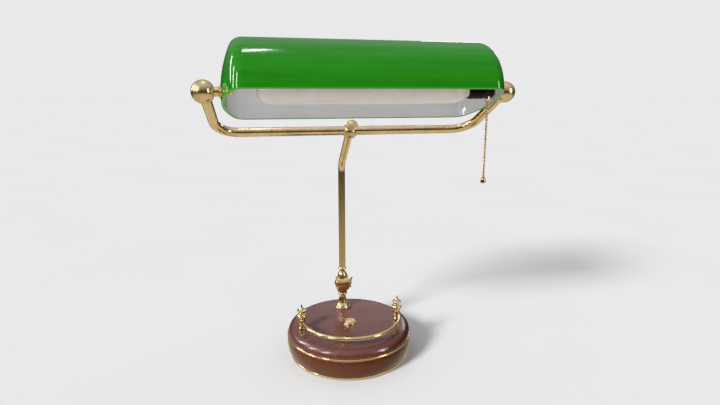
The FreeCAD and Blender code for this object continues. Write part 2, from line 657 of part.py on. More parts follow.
def shade_body(inset):
    """Round barrel with dished ends, as a solid that is smaller all round by the inset."""
    dish, corner = dish_radius() - inset, DOME_CORNER_R - inset
    dish_centre = SHADE_HALF + DOME_DEPTH - dish_radius()
    lean = math.atan2(SHADE_R - DOME_CORNER_R, SHADE_HALF - dish_centre)

    def on_corner(angle):
        return (SHADE_R - DOME_CORNER_R + corner * math.sin(angle), SHADE_HALF + corner * math.cos(angle))

    def on_dish(angle):
        return (dish * math.sin(angle), dish_centre + dish * math.cos(angle))

    half = turned((0, 0), (SHADE_R - inset, 0), (SHADE_R - inset, SHADE_HALF),
                  (on_corner((math.pi / 2 + lean) / 2), on_corner(lean)), (on_dish(lean / 2), on_dish(0)))
    right = placed(half, (0, 0, 0), RIGHT)
    return right.fuse(right.mirror(V((0, 0, 0)), V(RIGHT))).removeSplitter()


def shade_layer(outer_inset, inner_inset, rim_wire):
    """One layer of the cased glass, open below, with one edge of its rim rounded."""
    layer = shade_body(outer_inset).cut(shade_body(inner_inset))
    size = 4 * (SHADE_HALF + SHADE_R)
    layer = layer.cut(Part.makeBox(size, size, size, FreeCAD.Vector(-size / 2, -size / 2, -size - RIM_DROP)))
    rim = min(layer.Faces, key=lambda face: face.CenterOfMass.z + face.BoundBox.ZLength)
    wires = sorted(rim.Wires, key=lambda wire: wire.Length)
    layer = layer.makeFillet(RIM_ROUND, wires[rim_wire].Edges)
    hole = rod(STUD_R + STUD_HOLE_GAP, 4 * SHADE_HALF, (-2 * SHADE_HALF, 0, SHADE_DROP), RIGHT)
    return in_shade_frame(layer.cut(hole))


def dish_x(away, inset):
    """Where the dished end lies at a distance from the barrel's axis."""
    dish = dish_radius()
    return SHADE_HALF + DOME_DEPTH - dish + math.sqrt((dish - inset) ** 2 - away ** 2)


GLASS_X = dish_x(0, 0)
LINING_X = dish_x(SHADE_DROP + INNER_WASHER_R, SHADE_T)
WASHER_X = GLASS_X + SHADE_WASHER_T
INNER_WASHER_X = LINING_X - INNER_WASHER_T


def on_pivot(side, x):
    return (side * x, PIVOT_Y, PIVOT_Z)


def pivot_stud(side):
    """Hollow threaded stud: fixed through the shade's end, turning in the yoke ball."""
    inner = INNER_WASHER_X - EAR_T - SHADE_NUT_T - STUD_TAIL
    outer = PIVOT_X + STUD_TAIL - SLACK
    return ring(STUD_R, NIPPLE_BORE_R, outer - inner, on_pivot(side, inner), (side, 0, 0))


def shade_spacer(side):
    """Short sleeve with chamfered ends between the washer and the yoke ball."""
    length = PIVOT_X - YOKE_BALL_FACE - SLACK - WASHER_X
    bore = STUD_R + SEAT
    end_r = SPACER_R - 0.7
    spacer = turned((bore, 0), (end_r, 0), (SPACER_R, 1.0), (SPACER_R, length - 1.0), (end_r, length),
                    (bore, length))
    return placed(spacer, on_pivot(side, WASHER_X), (side, 0, 0))


def shade_washer(side):
    washer = turned((STUD_R + SEAT, 0), (SHADE_WASHER_R - 0.4, 0), ((SHADE_WASHER_R, SHADE_WASHER_T / 2),
                    (SHADE_WASHER_R - 0.4, SHADE_WASHER_T)), (STUD_R + SEAT, SHADE_WASHER_T))
    return placed(washer, on_pivot(side, GLASS_X), (side, 0, 0))


def inner_washer(side):
    """Soft washer against the lining, which curves in to meet its edge."""
    return ring(INNER_WASHER_R, STUD_R + SEAT, INNER_WASHER_T, on_pivot(side, INNER_WASHER_X), (side, 0, 0))


def shade_nut(side):
    """Left: against the inner washer. Right: against the ear of the socket's cap."""
    seat = INNER_WASHER_X if side < 0 else INNER_WASHER_X - EAR_T
    return hexagon(SHADE_NUT_R, SHADE_NUT_T, STUD_R + SEAT, on_pivot(side, seat), (-side, 0, 0))


# ---- Socket, bulb and pull chain -------------------------------------------------------------------
CAP_X = INNER_WASHER_X - 2 * SLACK - CAP_LEN


def on_lamp(x):
    return (x, LAMP_Y, LAMP_Z)


def socket_cap():
    """Cup in front of the pivot, carried by a flat ear round the stud, with a hole for the chain's mouth."""
    cap = turned((0, CAP_LEN), (CAP_R - 1.6, CAP_LEN), ((CAP_R - 0.4, CAP_LEN - 0.6), (CAP_R, CAP_LEN - 1.8)),
                 (CAP_R, 0), (CAP_R - SOCKET_WALL, 0), (CAP_R - SOCKET_WALL, CAP_LEN - CAP_END_T),
                 (0, CAP_LEN - CAP_END_T))
    cap = placed(cap, on_lamp(CAP_X), RIGHT)
    ear_x = INNER_WASHER_X - EAR_T
    ear = rod(EAR_R, EAR_T, on_pivot(1, ear_x), RIGHT)
    web = Part.makeBox(EAR_T, LAMP_SET, 2 * EAR_R - 2, FreeCAD.Vector(ear_x, LAMP_Y, PIVOT_Z - EAR_R + 1))
    cap = cap.fuse([ear, web])
    cap = cap.cut(rod(STUD_R + SEAT, 2 * EAR_T, on_pivot(1, ear_x - EAR_T / 2), RIGHT))
    cap = cap.cut(rod(MOUTH_BODY_R + SEAT, CAP_R, (CHAIN_X, CHAIN_Y, LAMP_Z - CAP_R - 1)))
    return cap.removeSplitter()


def socket_shell():
    """Ribbed cup that holds the bulb's cap."""
    length = CAP_X - SOCKET_FACE_X
    wall = SOCKET_R - SOCKET_WALL
    shell = ring(SOCKET_R, wall, length, on_lamp(SOCKET_FACE_X), RIGHT)
    rib = length / (2 * SOCKET_RIBS + 1)
    for i in range(SOCKET_RIBS):
        shell = shell.fuse(ring(SOCKET_RIB_R, wall, rib, on_lamp(SOCKET_FACE_X + (2 * i + 1) * rib), RIGHT))
    back = ring(SOCKET_R, STUD_R, SOCKET_WALL, on_lamp(CAP_X - SOCKET_WALL), RIGHT)
    return shell.fuse(back).removeSplitter()


def socket_ring():
    """Threaded liner between the shell and the bulb's cap."""
    start = SOCKET_FACE_X + 0.6
    length = CAP_X - SOCKET_WALL - start
    return ring(SOCKET_R - SOCKET_WALL - SEAT, BULB_CAP_R + FIT, length, on_lamp(start), RIGHT)


def bulb_outline(inset):
    """Tube with a round tip and a shoulder down to the neck, from tip to neck along the axis."""
    radius, tip = BULB_R - inset, BULB_TIP_X + inset
    neck = BULB_NECK_R - inset
    bend = radius * (1 - math.sqrt(0.5))
    end = SOCKET_FACE_X - BULB_SEAT - inset
    return turned((0, tip), ((radius - bend, tip + bend), (radius, tip + radius)), (radius, BULB_SHOULDER_X),
                  ((radius * 0.86, BULB_SHOULDER_X + 8.6), (neck, BULB_NECK_X)), (neck, end), (0, end))


def bulb_glass():
    return placed(bulb_outline(0).cut(bulb_outline(BULB_WALL)), on_lamp(0), RIGHT)


def bulb_cap():
    start = SOCKET_FACE_X - BULB_SEAT
    end = min(start + BULB_CAP_LEN, CAP_X - SOCKET_WALL - 0.5)
    cap = turned((0, start), (BULB_NECK_R - 0.2, start), (BULB_CAP_R, start + 1.1), (BULB_CAP_R, end - 3.0),
                 (BULB_CAP_R - 2.4, end - 1.2), (BULB_CAP_R - 3.4, end), (0, end))
    return placed(cap, on_lamp(0), RIGHT)


def filament():
    """Long coil along the bulb's axis, held by a glass stem at the neck and a return lead."""
    root = SOCKET_FACE_X - BULB_SEAT - BULB_WALL
    tip = BULB_TIP_X + BULB_R
    stem_l = 15.0
    coil = rod(FILAMENT_R, root - stem_l + 1 - tip, on_lamp(tip), RIGHT)
    stem = rod(2.2, stem_l, on_lamp(root), (-1, 0, 0))
    lead = rod(LEAD_R, root - stem_l + 4 - tip, (tip, LAMP_Y, LAMP_Z - LEAD_SET), RIGHT)
    far = rod(LEAD_R, LEAD_SET, (tip + 2 * LEAD_R, LAMP_Y, LAMP_Z - LEAD_SET))
    near = rod(LEAD_R, LEAD_SET, (root - stem_l + 3, LAMP_Y, LAMP_Z - LEAD_SET))
    return coil.fuse([stem, lead, far, near]).removeSplitter()


def chain_mouth():
    """Small bell screwed into the cap's underside, open from end to end for the chain."""
    bell = turned((MOUTH_BORE_R, MOUTH_TOP_Z), (MOUTH_BODY_R, MOUTH_TOP_Z), (MOUTH_BODY_R, MOUTH_Z + 1.6),
                  ((MOUTH_BODY_R + 0.1, MOUTH_Z + 0.7), (MOUTH_R, MOUTH_Z)), (MOUTH_BORE_R + 0.3, MOUTH_Z),
                  (MOUTH_BORE_R, MOUTH_Z + 0.5))
    return placed(bell, (CHAIN_X, CHAIN_Y, 0))


def bead(z):
    return Part.makeSphere(BEAD_R, FreeCAD.Vector(CHAIN_X, CHAIN_Y, z))


def pull_link():
    """First beads on their wire, drawn out of the bell when the chain is pulled."""
    places = [LINK_BEAD_Z + i * BEAD_PITCH for i in range(LINK_BEADS)]
    wire = rod(CHAIN_WIRE_R, places[-1] - places[0], (CHAIN_X, CHAIN_Y, places[0]))
    return wire.fuse([bead(z) for z in places]).removeSplitter()


def chain_beads():
    count = int((LINK_BEAD_Z - CHAIN_END_Z) / BEAD_PITCH)
    return [LINK_BEAD_Z - (i + 1) * BEAD_PITCH for i in range(count)]


def bead_chain():
    """Beads on a wire, which starts just under the link's lower bead and swings round it."""
    top = LINK_BEAD_Z - BEAD_R - SLACK
    low = chain_beads()[-1] - BEAD_PITCH / 2
    wire = rod(CHAIN_WIRE_R, top - low, (CHAIN_X, CHAIN_Y, low))
    return wire.fuse([bead(z) for z in chain_beads()]).removeSplitter()


def chain_bell():
    top = chain_beads()[-1] - BEAD_PITCH / 2
    low = top - END_BELL_H
    bell = turned((0, low), (END_BELL_R - 1.4, low), ((END_BELL_R - 0.4, low + 0.4), (END_BELL_R, low + 1.4)),
                  (END_BELL_R - 0.2, low + 3.6), ((END_BELL_R - 0.9, low + 6.0), (1.2, top)), (0, top))
    return placed(bell, (CHAIN_X, CHAIN_Y, 0))


# ---- The lamp --------------------------------------------------------------------------------------
def lamp():
    nodes = {
        "felt_pad": felt_pad(),
        "bottom_band": bottom_band(),
        "base_lower": base_lower(),
        "inlay_ring": inlay_ring(),
        "base_top": base_top(),
        "ballast_plate": ballast_plate(),
        "cord_bush": cord_bush(),
        "gallery_rail": gallery_rail(),
        "button_bezel": button_bezel(),
        "push_button": push_button(),
        "switch_body": switch_body(),
        "column_flange": column_flange(),
        "column_bell": column_bell(),
        "column_nipple": column_nipple(),
        "nipple_washer": nipple_washer(),
        "nipple_nut": nipple_nut(),
        "knuckle_fork": knuckle_fork(),
        "knuckle_bolt": knuckle_bolt(),
        "wing_nut": wing_nut(),
        "knuckle_tongue": knuckle_tongue(),
        "tube_collar": tube_collar(),
        "column_tube": column_tube(),
        "clamp_ball": clamp_ball(),
        "clamp_screw": clamp_screw(),
        "yoke_tube": yoke_tube(),
        "shade_glass": shade_layer(0, GLASS_T, rim_wire=-1),
        "shade_lining": shade_layer(GLASS_T, SHADE_T, rim_wire=0),
        "socket_cap": socket_cap(),
        "socket_shell": socket_shell(),
        "socket_ring": socket_ring(),
        "bulb_glass": bulb_glass(),
        "bulb_cap": bulb_cap(),
        "filament": filament(),
        "chain_mouth": chain_mouth(),
        "pull_link": pull_link(),
        "bead_chain": bead_chain(),
        "chain_bell": chain_bell(),
    }
    for number, (x, y) in enumerate(ballast_screw_places(), 1):
        nodes[f"ballast_screw_{number}"] = ballast_screw(x, y)
    for name, side in SIDES:
        nodes[f"rail_post_{name}"] = rail_post(side)
        nodes[f"post_stud_{name}"] = post_stud(side)
        nodes[f"finial_{name}"] = finial(side)
        nodes[f"knuckle_washer_{name}"] = knuckle_washer(side)
        nodes[f"yoke_ball_{name}"] = yoke_ball(side)
        nodes[f"pivot_stud_{name}"] = pivot_stud(side)
        nodes[f"shade_spacer_{name}"] = shade_spacer(side)
        nodes[f"shade_washer_{name}"] = shade_washer(side)
        nodes[f"inner_washer_{name}"] = inner_washer(side)
        nodes[f"shade_nut_{name}"] = shade_nut(side)
    return nodes


os.makedirs("parts", exist_ok=True)
for name, shape in lamp().items():
    if not shape.isValid() or len(shape.Solids) != 1:
        raise ValueError(f"{name}: {len(shape.Solids)} solids, valid {shape.isValid()}")
    shape.exportStep(f"parts/{name}.step")
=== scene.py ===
"""Desk lamp with a long green glass shade: finishes, fine metalwork, light and camera."""
import json
import math

import bmesh
import bpy
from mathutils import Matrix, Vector


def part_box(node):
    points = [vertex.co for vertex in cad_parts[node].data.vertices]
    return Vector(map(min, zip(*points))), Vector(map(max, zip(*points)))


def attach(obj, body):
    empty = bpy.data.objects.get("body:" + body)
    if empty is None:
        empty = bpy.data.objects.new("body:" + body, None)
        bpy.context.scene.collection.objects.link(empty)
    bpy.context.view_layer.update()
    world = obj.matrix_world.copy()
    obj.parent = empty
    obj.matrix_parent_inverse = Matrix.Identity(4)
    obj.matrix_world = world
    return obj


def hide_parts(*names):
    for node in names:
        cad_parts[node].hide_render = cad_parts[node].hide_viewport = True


bl_info = {
    "name": "Green Glass Desk Lamp",
    "version": (1, 0, 0),
    "blender": (4, 5, 0),
    "location": "View3D > Sidebar > Desk Lamp",
    "description": "Finishes and fine metalwork of a desk lamp with a long glass shade",
    "category": "Object",
}

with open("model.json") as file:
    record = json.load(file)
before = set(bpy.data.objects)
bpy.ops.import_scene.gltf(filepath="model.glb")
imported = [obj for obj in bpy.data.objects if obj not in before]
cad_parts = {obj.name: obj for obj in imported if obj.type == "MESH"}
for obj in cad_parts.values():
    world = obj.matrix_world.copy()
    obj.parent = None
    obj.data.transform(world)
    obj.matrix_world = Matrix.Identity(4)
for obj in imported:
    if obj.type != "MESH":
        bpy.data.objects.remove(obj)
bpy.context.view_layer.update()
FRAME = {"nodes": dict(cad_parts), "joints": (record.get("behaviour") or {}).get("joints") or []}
JOINTS = {joint["name"]: joint for joint in FRAME["joints"]}
MM = 0.001
FLOOR_HALF = 60.0
PALE = (0.88, 0.88, 0.885, 1)      # the floor as it looks far away
BEAD_R = 1.45 * MM
BEAD_PITCH = 3.5 * MM
CHAIN_WIRE_R = 0.5 * MM
RIM_TILT = math.radians(17.4)      # how far the shade's opening is turned towards the front
LINE_UP = Vector((0, math.sin(RIM_TILT), math.cos(RIM_TILT)))   # square to the plane of the shade's rim


# ---- Sizes and colours that a user would change ----------------------------------------------------
class LampFinishes(bpy.types.PropertyGroup):
    brass_bright: bpy.props.FloatVectorProperty(
        name="Polished brass", description="Brass where it is rubbed clean", subtype="COLOR", size=4,
        min=0, max=1, default=(0.90, 0.74, 0.46, 1))
    brass_dull: bpy.props.FloatVectorProperty(
        name="Tarnished brass", description="Brass where it has gone brown", subtype="COLOR", size=4,
        min=0, max=1, default=(0.38, 0.265, 0.13, 1))
    wood_light: bpy.props.FloatVectorProperty(
        name="Wood, light grain", description="Early wood between the dark lines", subtype="COLOR", size=4,
        min=0, max=1, default=(0.118, 0.040, 0.026, 1))
    wood_dark: bpy.props.FloatVectorProperty(
        name="Wood, dark grain", description="Late wood and pores", subtype="COLOR", size=4,
        min=0, max=1, default=(0.072, 0.024, 0.016, 1))
    glass_green: bpy.props.FloatVectorProperty(
        name="Shade green", description="Outer layer of the cased glass", subtype="COLOR", size=4,
        min=0, max=1, default=(0.026, 0.200, 0.017, 1))
    glass_deep: bpy.props.FloatVectorProperty(
        name="Shade deep green", description="Darker drawing lines in the glass", subtype="COLOR", size=4,
        min=0, max=1, default=(0.020, 0.160, 0.013, 1))
    opal: bpy.props.FloatVectorProperty(
        name="Opal white", description="Inner layer of the cased glass", subtype="COLOR", size=4,
        min=0, max=1, default=(0.90, 0.91, 0.90, 1))


class LampDetails(bpy.types.PropertyGroup):
    coin_edges: bpy.props.IntProperty(
        name="Thumb screw flutes", description="Grooves round the thumb screw's head", min=12, max=60,
        default=36)
    bead_seam: bpy.props.FloatProperty(
        name="Bead seam", description="Width of the seam round each chain bead", unit="LENGTH",
        min=0.00005, max=0.0006, default=0.0002)
    coil_pitch: bpy.props.FloatProperty(
        name="Filament pitch", description="Rise of one turn of the filament", unit="LENGTH",
        min=0.0004, max=0.003, default=0.0011)
    nut_chamfer: bpy.props.FloatProperty(
        name="Nut chamfer", description="Chamfer on the corners of the hexagon nuts", unit="LENGTH",
        min=0.0001, max=0.001, default=0.0004)


# ---- Node tree helpers -----------------------------------------------------------------------------
def add(tree, kind, inputs=None, **settings):
    """A node with its settings, and its inputs either linked or given a value."""
    node = tree.nodes.new(kind)
    for key, value in settings.items():
        setattr(node, key, value)
    for key, value in (inputs or {}).items():
        if isinstance(value, bpy.types.NodeSocket):
            tree.links.new(value, node.inputs[key])
        else:
            node.inputs[key].default_value = value
    return node


def new_group(name, takes, gives):
    """An empty shader group with named sockets, its input node and its output node."""
    group = bpy.data.node_groups.new(name, "ShaderNodeTree")
    for label, kind, default in takes:
        socket = group.interface.new_socket(label, in_out="INPUT", socket_type="NodeSocket" + kind)
        if default is not None:
            socket.default_value = default
    for label, kind in gives:
        group.interface.new_socket(label, in_out="OUTPUT", socket_type="NodeSocket" + kind)
    return group, add(group, "NodeGroupInput"), add(group, "NodeGroupOutput")


def use(tree, group, inputs):
    node = add(tree, "ShaderNodeGroup", node_tree=bpy.data.node_groups[group])
    for key, value in inputs.items():
        if isinstance(value, bpy.types.NodeSocket):
            tree.links.new(value, node.inputs[key])
        else:
            node.inputs[key].default_value = value
    return node


def ranged(tree, value, low, high, to_low=0.0, to_high=1.0):
    """The value spread from one range to another, held at its ends."""
    node = add(tree, "ShaderNodeMapRange", {"Value": value, "From Min": low, "From Max": high,
                                            "To Min": to_low, "To Max": to_high})
    return node.outputs["Result"]


def mixed(tree, factor, first, second, blend="MIX"):
    node = add(tree, "ShaderNodeMix", data_type="RGBA", blend_type=blend)
    for socket, value in ((node.inputs[0], factor), (node.inputs[6], first), (node.inputs[7], second)):
        if isinstance(value, bpy.types.NodeSocket):
            tree.links.new(value, socket)
        else:
            socket.default_value = value
    return node.outputs[2]


def sums(tree, operation, first, second):
    node = add(tree, "ShaderNodeMath", {0: first, 1: second}, operation=operation)
    return node.outputs[0]


def noise(tree, vector, scale, detail=4.0, rough=0.5, distortion=0.0):
    node = add(tree, "ShaderNodeTexNoise", {"Vector": vector, "Scale": scale, "Detail": detail,
                                            "Roughness": rough, "Distortion": distortion})
    return node.outputs["Fac"]


def stretched(tree, vector, scale, turn=(0, 0, 0)):
    node = add(tree, "ShaderNodeMapping", {"Vector": vector, "Scale": scale, "Rotation": turn})
    return node.outputs["Vector"]


# ---- Effects shared by the finishes ------------------------------------------------------------------
def build_patina():
    """Polished metal going brown in clouds and specks, rougher where it is brown."""
    group, given, out = new_group(
        "Patina", [("Vector", "Vector", None), ("Bright", "Color", None), ("Dull", "Color", None),
                   ("Amount", "Float", 0.5), ("Scale", "Float", 40.0)],
        [("Color", "Color"), ("Roughness", "Float")])
    clouds = noise(group, given.outputs["Vector"], given.outputs["Scale"], 6, 0.6, 0.4)
    small = sums(group, "MULTIPLY", given.outputs["Scale"], 13.0)
    specks = noise(group, given.outputs["Vector"], small, 3, 0.7)
    mask = sums(group, "ADD", ranged(group, clouds, 0.38, 0.70), ranged(group, specks, 0.55, 0.72, 0, 0.5))
    mask = sums(group, "MULTIPLY", mask, given.outputs["Amount"])
    mask = add(group, "ShaderNodeClamp", {"Value": mask}).outputs[0]
    color = mixed(group, mask, given.outputs["Bright"], given.outputs["Dull"])
    wiped = noise(group, stretched(group, given.outputs["Vector"], (9, 9, 1.5)), 60, 3)
    rough = sums(group, "ADD", ranged(group, mask, 0, 1, 0.10, 0.30),
                 ranged(group, wiped, 0.35, 0.7, 0, 0.05))
    group.links.new(color, out.inputs["Color"])
    group.links.new(rough, out.inputs["Roughness"])


def build_edge_wear():
    """Corners rubbed to another colour with a painted edge highlight, and hollows darkened with grime and
    painted shade, by how sharply the surface turns.
    """
    group, given, out = new_group(
        "Edge Wear and Painted Shading", [("Color", "Color", None), ("Worn Highlight", "Color", None), ("Grime Shade", "Color", None),
                      ("Amount", "Float", 0.5)], [("Color", "Color"), ("Mask", "Float")])
    turn = add(group, "ShaderNodeNewGeometry").outputs["Pointiness"]
    edge = sums(group, "MULTIPLY", ranged(group, turn, 0.51, 0.60), given.outputs["Amount"])
    hollow = sums(group, "MULTIPLY", ranged(group, turn, 0.49, 0.42), given.outputs["Amount"])
    color = mixed(group, edge, given.outputs["Color"], given.outputs["Worn Highlight"])
    color = mixed(group, hollow, color, given.outputs["Grime Shade"])
    group.links.new(color, out.inputs["Color"])
    group.links.new(edge, out.inputs["Mask"])


def build_wood_grain():
    """Long figure along X, with growth lines, dark pores and slow changes of tone."""
    group, given, out = new_group(
        "Wood Grain", [("Vector", "Vector", None), ("Light", "Color", None), ("Dark", "Color", None)],
        [("Color", "Color"), ("Pores", "Float")])
    board = stretched(group, given.outputs["Vector"], (0.09, 1, 1), (0.5, 0, 0.05))
    lines = add(group, "ShaderNodeTexWave", {"Vector": board, "Scale": 75.0, "Distortion": 4.0, "Detail": 4.0,
                                             "Detail Scale": 1.6, "Detail Roughness": 0.62},
                bands_direction="Y", wave_profile="SIN").outputs["Fac"]
    tone = noise(group, board, 22, 5, 0.6)
    pores = noise(group, stretched(group, given.outputs["Vector"], (0.03, 1, 1), (0.5, 0, 0.05)),
                  1500, 2, 0.5)
    pore_mask = ranged(group, pores, 0.58, 0.68)
    figure = sums(group, "ADD", ranged(group, lines, 0.1, 1.0, 0, 0.30),
                  ranged(group, tone, 0.35, 0.7, 0, 0.6))
    color = mixed(group, add(group, "ShaderNodeClamp", {"Value": figure}).outputs[0],
                  given.outputs["Light"], given.outputs["Dark"])
    color = mixed(group, sums(group, "MULTIPLY", pore_mask, 0.15), color, given.outputs["Dark"])
    group.links.new(color, out.inputs["Color"])
    group.links.new(pore_mask, out.inputs["Pores"])


def build_drawn_lines():
    """Fine lines that run along X, as in drawn and cased glass, with slow clouds over them."""
    group, given, out = new_group(
        "Drawn Lines", [("Vector", "Vector", None), ("Color", "Color", None), ("Deep", "Color", None),
                        ("Pale", "Color", None)], [("Color", "Color"), ("Height", "Float")])
    fine = noise(group, stretched(group, given.outputs["Vector"], (0.02, 1, 1)), 900, 3, 0.6)
    broad = noise(group, stretched(group, given.outputs["Vector"], (0.06, 1, 1)), 120, 4, 0.6)
    color = mixed(group, ranged(group, broad, 0.35, 0.68), given.outputs["Color"], given.outputs["Deep"])
    color = mixed(group, ranged(group, fine, 0.55, 0.78, 0, 0.55), color, given.outputs["Pale"])
    group.links.new(color, out.inputs["Color"])
    group.links.new(sums(group, "ADD", fine, broad), out.inputs["Height"])


def build_dust():
    """A thin veil on faces that look up, broken by noise."""
    group, given, out = new_group(
        "Dust", [("Vector", "Vector", None), ("Color", "Color", None),
                 ("Dust", "Color", (0.45, 0.42, 0.38, 1)),
                 ("Amount", "Float", 0.1)], [("Color", "Color"), ("Veil", "Float")])
    facing = add(group, "ShaderNodeSeparateXYZ",
                 {"Vector": add(group, "ShaderNodeNewGeometry").outputs["Normal"]}).outputs["Z"]
    patches = ranged(group, noise(group, given.outputs["Vector"], 55, 6, 0.65), 0.35, 0.75)
    veil = sums(group, "MULTIPLY", sums(group, "MULTIPLY", ranged(group, facing, 0.3, 1.0), patches),
                given.outputs["Amount"])
    group.links.new(mixed(group, veil, given.outputs["Color"], given.outputs["Dust"]), out.inputs["Color"])
    group.links.new(veil, out.inputs["Veil"])


# ---- Finishes ------------------------------------------------------------------------------------------
def new_finish(name):
    """A material with its tree, its shader and the coordinates that its patterns read."""
    material = bpy.data.materials.new(name)
    material.use_nodes = True
    tree = material.node_tree
    shader = tree.nodes["Principled BSDF"]
    return material, tree, shader, add(tree, "ShaderNodeTexCoord").outputs["Object"]


def bumped(tree, shader, height, strength, distance):
    bump = add(tree, "ShaderNodeBump", {"Height": height, "Strength": strength, "Distance": distance})
    tree.links.new(bump.outputs["Normal"], shader.inputs["Normal"])


def brass(name, amount, scale, stretch=(1, 1, 1), rough=0.0):
    """Brass with the given amount of patina, its clouds drawn out along an axis."""
    finishes = bpy.context.scene.lamp_finishes
    material, tree, shader, place = new_finish(name)
    patina = use(tree, "Patina", {"Vector": stretched(tree, place, stretch), "Bright": finishes.brass_bright,
                                  "Dull": finishes.brass_dull, "Amount": amount, "Scale": scale})
    # Corners lighter as rubbed brass and a painted highlight; hollows darker as grime and painted shade.
    wear_and_shading = use(tree, "Edge Wear and Painted Shading", {"Color": patina.outputs["Color"], "Worn Highlight": (0.95, 0.74, 0.40, 1),
                                   "Grime Shade": (0.16, 0.08, 0.03, 1), "Amount": 0.75})
    tree.links.new(wear_and_shading.outputs["Color"], shader.inputs["Base Color"])
    tree.links.new(sums(tree, "ADD", patina.outputs["Roughness"], rough), shader.inputs["Roughness"])
    shader.inputs["Metallic"].default_value = 1.0
    bumped(tree, shader, noise(tree, place, 420, 4, 0.6), 0.10, 0.0004)
    return material


def wood(name, light, dark):
    """Polished hardwood under a clear coat."""
    material, tree, shader, place = new_finish(name)
    grain = use(tree, "Wood Grain", {"Vector": place, "Light": light, "Dark": dark})
    # Corners lighter as worn finish and a painted highlight; hollows darker as grime and painted shade.
    wear_and_shading = use(tree, "Edge Wear and Painted Shading", {"Color": grain.outputs["Color"],
                                   "Worn Highlight": tuple(1.7 * c for c in light[:3]) + (1,),
                                   "Grime Shade": tuple(0.5 * c for c in dark[:3]) + (1,), "Amount": 0.35})
    dust = use(tree, "Dust", {"Vector": place, "Color": wear_and_shading.outputs["Color"], "Amount": 0.05})
    tree.links.new(dust.outputs["Color"], shader.inputs["Base Color"])
    rough = sums(tree, "ADD", ranged(tree, noise(tree, place, 38, 5, 0.6), 0.35, 0.7, 0.22, 0.36),
                 sums(tree, "MULTIPLY", dust.outputs["Veil"], 1.2))
    tree.links.new(rough, shader.inputs["Roughness"])
    shader.inputs["Coat Weight"].default_value = 0.7
    shader.inputs["Coat Roughness"].default_value = 0.16
    bumped(tree, shader, grain.outputs["Pores"], 0.12, 0.0002)
    return material


def green_glass():
    """Glossy green layer with drawn lines, with a painted sheen towards its silhouettes and a painted glow at
    its cut rim, as if light came through.
    """
    finishes = bpy.context.scene.lamp_finishes
    material, tree, shader, place = new_finish("green_cased_glass")
    lines = use(tree, "Drawn Lines", {"Vector": place, "Color": finishes.glass_green,
                                      "Deep": finishes.glass_deep, "Pale": (0.039, 0.235, 0.028, 1)})
    # Painted sheen: the green turns brighter towards grazing view angles.
    facing = add(tree, "ShaderNodeLayerWeight", {"Blend": 0.28}).outputs["Facing"]
    color = mixed(tree, ranged(tree, facing, 0.25, 1.0, 0, 0.35), lines.outputs["Color"],
                  (0.03, 0.26, 0.02, 1))
    # Painted glow: brighter green along the cut rim, standing in for light let through the glass.
    color = mixed(tree, near_rim(tree, place, 1.2 * MM), color, (0.05, 0.33, 0.03, 1))
    tree.links.new(color, shader.inputs["Base Color"])
    rough = ranged(tree, noise(tree, place, 26, 5, 0.6), 0.35, 0.7, 0.10, 0.18)
    tree.links.new(rough, shader.inputs["Roughness"])
    shader.inputs["IOR"].default_value = 1.52
    shader.inputs["Specular IOR Level"].default_value = 0.2
    shader.inputs["Coat Weight"].default_value = 0.45
    shader.inputs["Coat Roughness"].default_value = 0.03
    bumped(tree, shader, lines.outputs["Height"], 0.05, 0.0006)
    return material


def near_rim(tree, place, reach):
    """1 at the cut rim of the shade, fading to 0 at a height above it."""
    lowest = min(LINE_UP.dot(vertex.co) for vertex in FRAME["nodes"]["shade_glass"].data.vertices)
    height = add(tree, "ShaderNodeVectorMath", {0: place, 1: LINE_UP},
                 operation="DOT_PRODUCT").outputs["Value"]
    return ranged(tree, height, lowest + 0.3 * reach, lowest + reach, 1.0, 0.0)


def opal_glass():
    """Milky white layer, faintly clouded and drawn along its length, with a painted green glow along its cut
    rim.
    """
    finishes = bpy.context.scene.lamp_finishes
    material, tree, shader, place = new_finish("opal_lining_glass")
    lines = use(tree, "Drawn Lines", {"Vector": place, "Color": finishes.opal, "Deep": (0.84, 0.85, 0.85, 1),
                                      "Pale": (0.94, 0.95, 0.93, 1)})
    # Painted glow: the lining's cut rim is painted bright green, standing in for light through the green
    # layer.
    color = mixed(tree, near_rim(tree, place, 0.5 * MM), lines.outputs["Color"], (0.04, 0.26, 0.03, 1))
    tree.links.new(color, shader.inputs["Base Color"])
    tree.links.new(ranged(tree, noise(tree, place, 40, 4, 0.6), 0.35, 0.7, 0.14, 0.24),
                   shader.inputs["Roughness"])
    shader.inputs["Coat Weight"].default_value = 0.5
    shader.inputs["Coat Roughness"].default_value = 0.05
    bumped(tree, shader, lines.outputs["Height"], 0.04, 0.0005)
    return material


def bulb_glass():
    """Frosted tube with a warm cast and a faint sheen of clear patches."""
    material, tree, shader, place = new_finish("frosted_bulb_glass")
    clouds = noise(tree, place, 70, 5, 0.6)
    color = mixed(tree, ranged(tree, clouds, 0.35, 0.7), (0.96, 0.86, 0.79, 1), (0.98, 0.92, 0.87, 1))
    tree.links.new(color, shader.inputs["Base Color"])
    tree.links.new(ranged(tree, clouds, 0.3, 0.7, 0.30, 0.38), shader.inputs["Roughness"])
    shader.inputs["Transmission Weight"].default_value = 0.25
    shader.inputs["IOR"].default_value = 1.45
    shader.inputs["Coat Weight"].default_value = 0.8
    shader.inputs["Coat Roughness"].default_value = 0.06
    return material


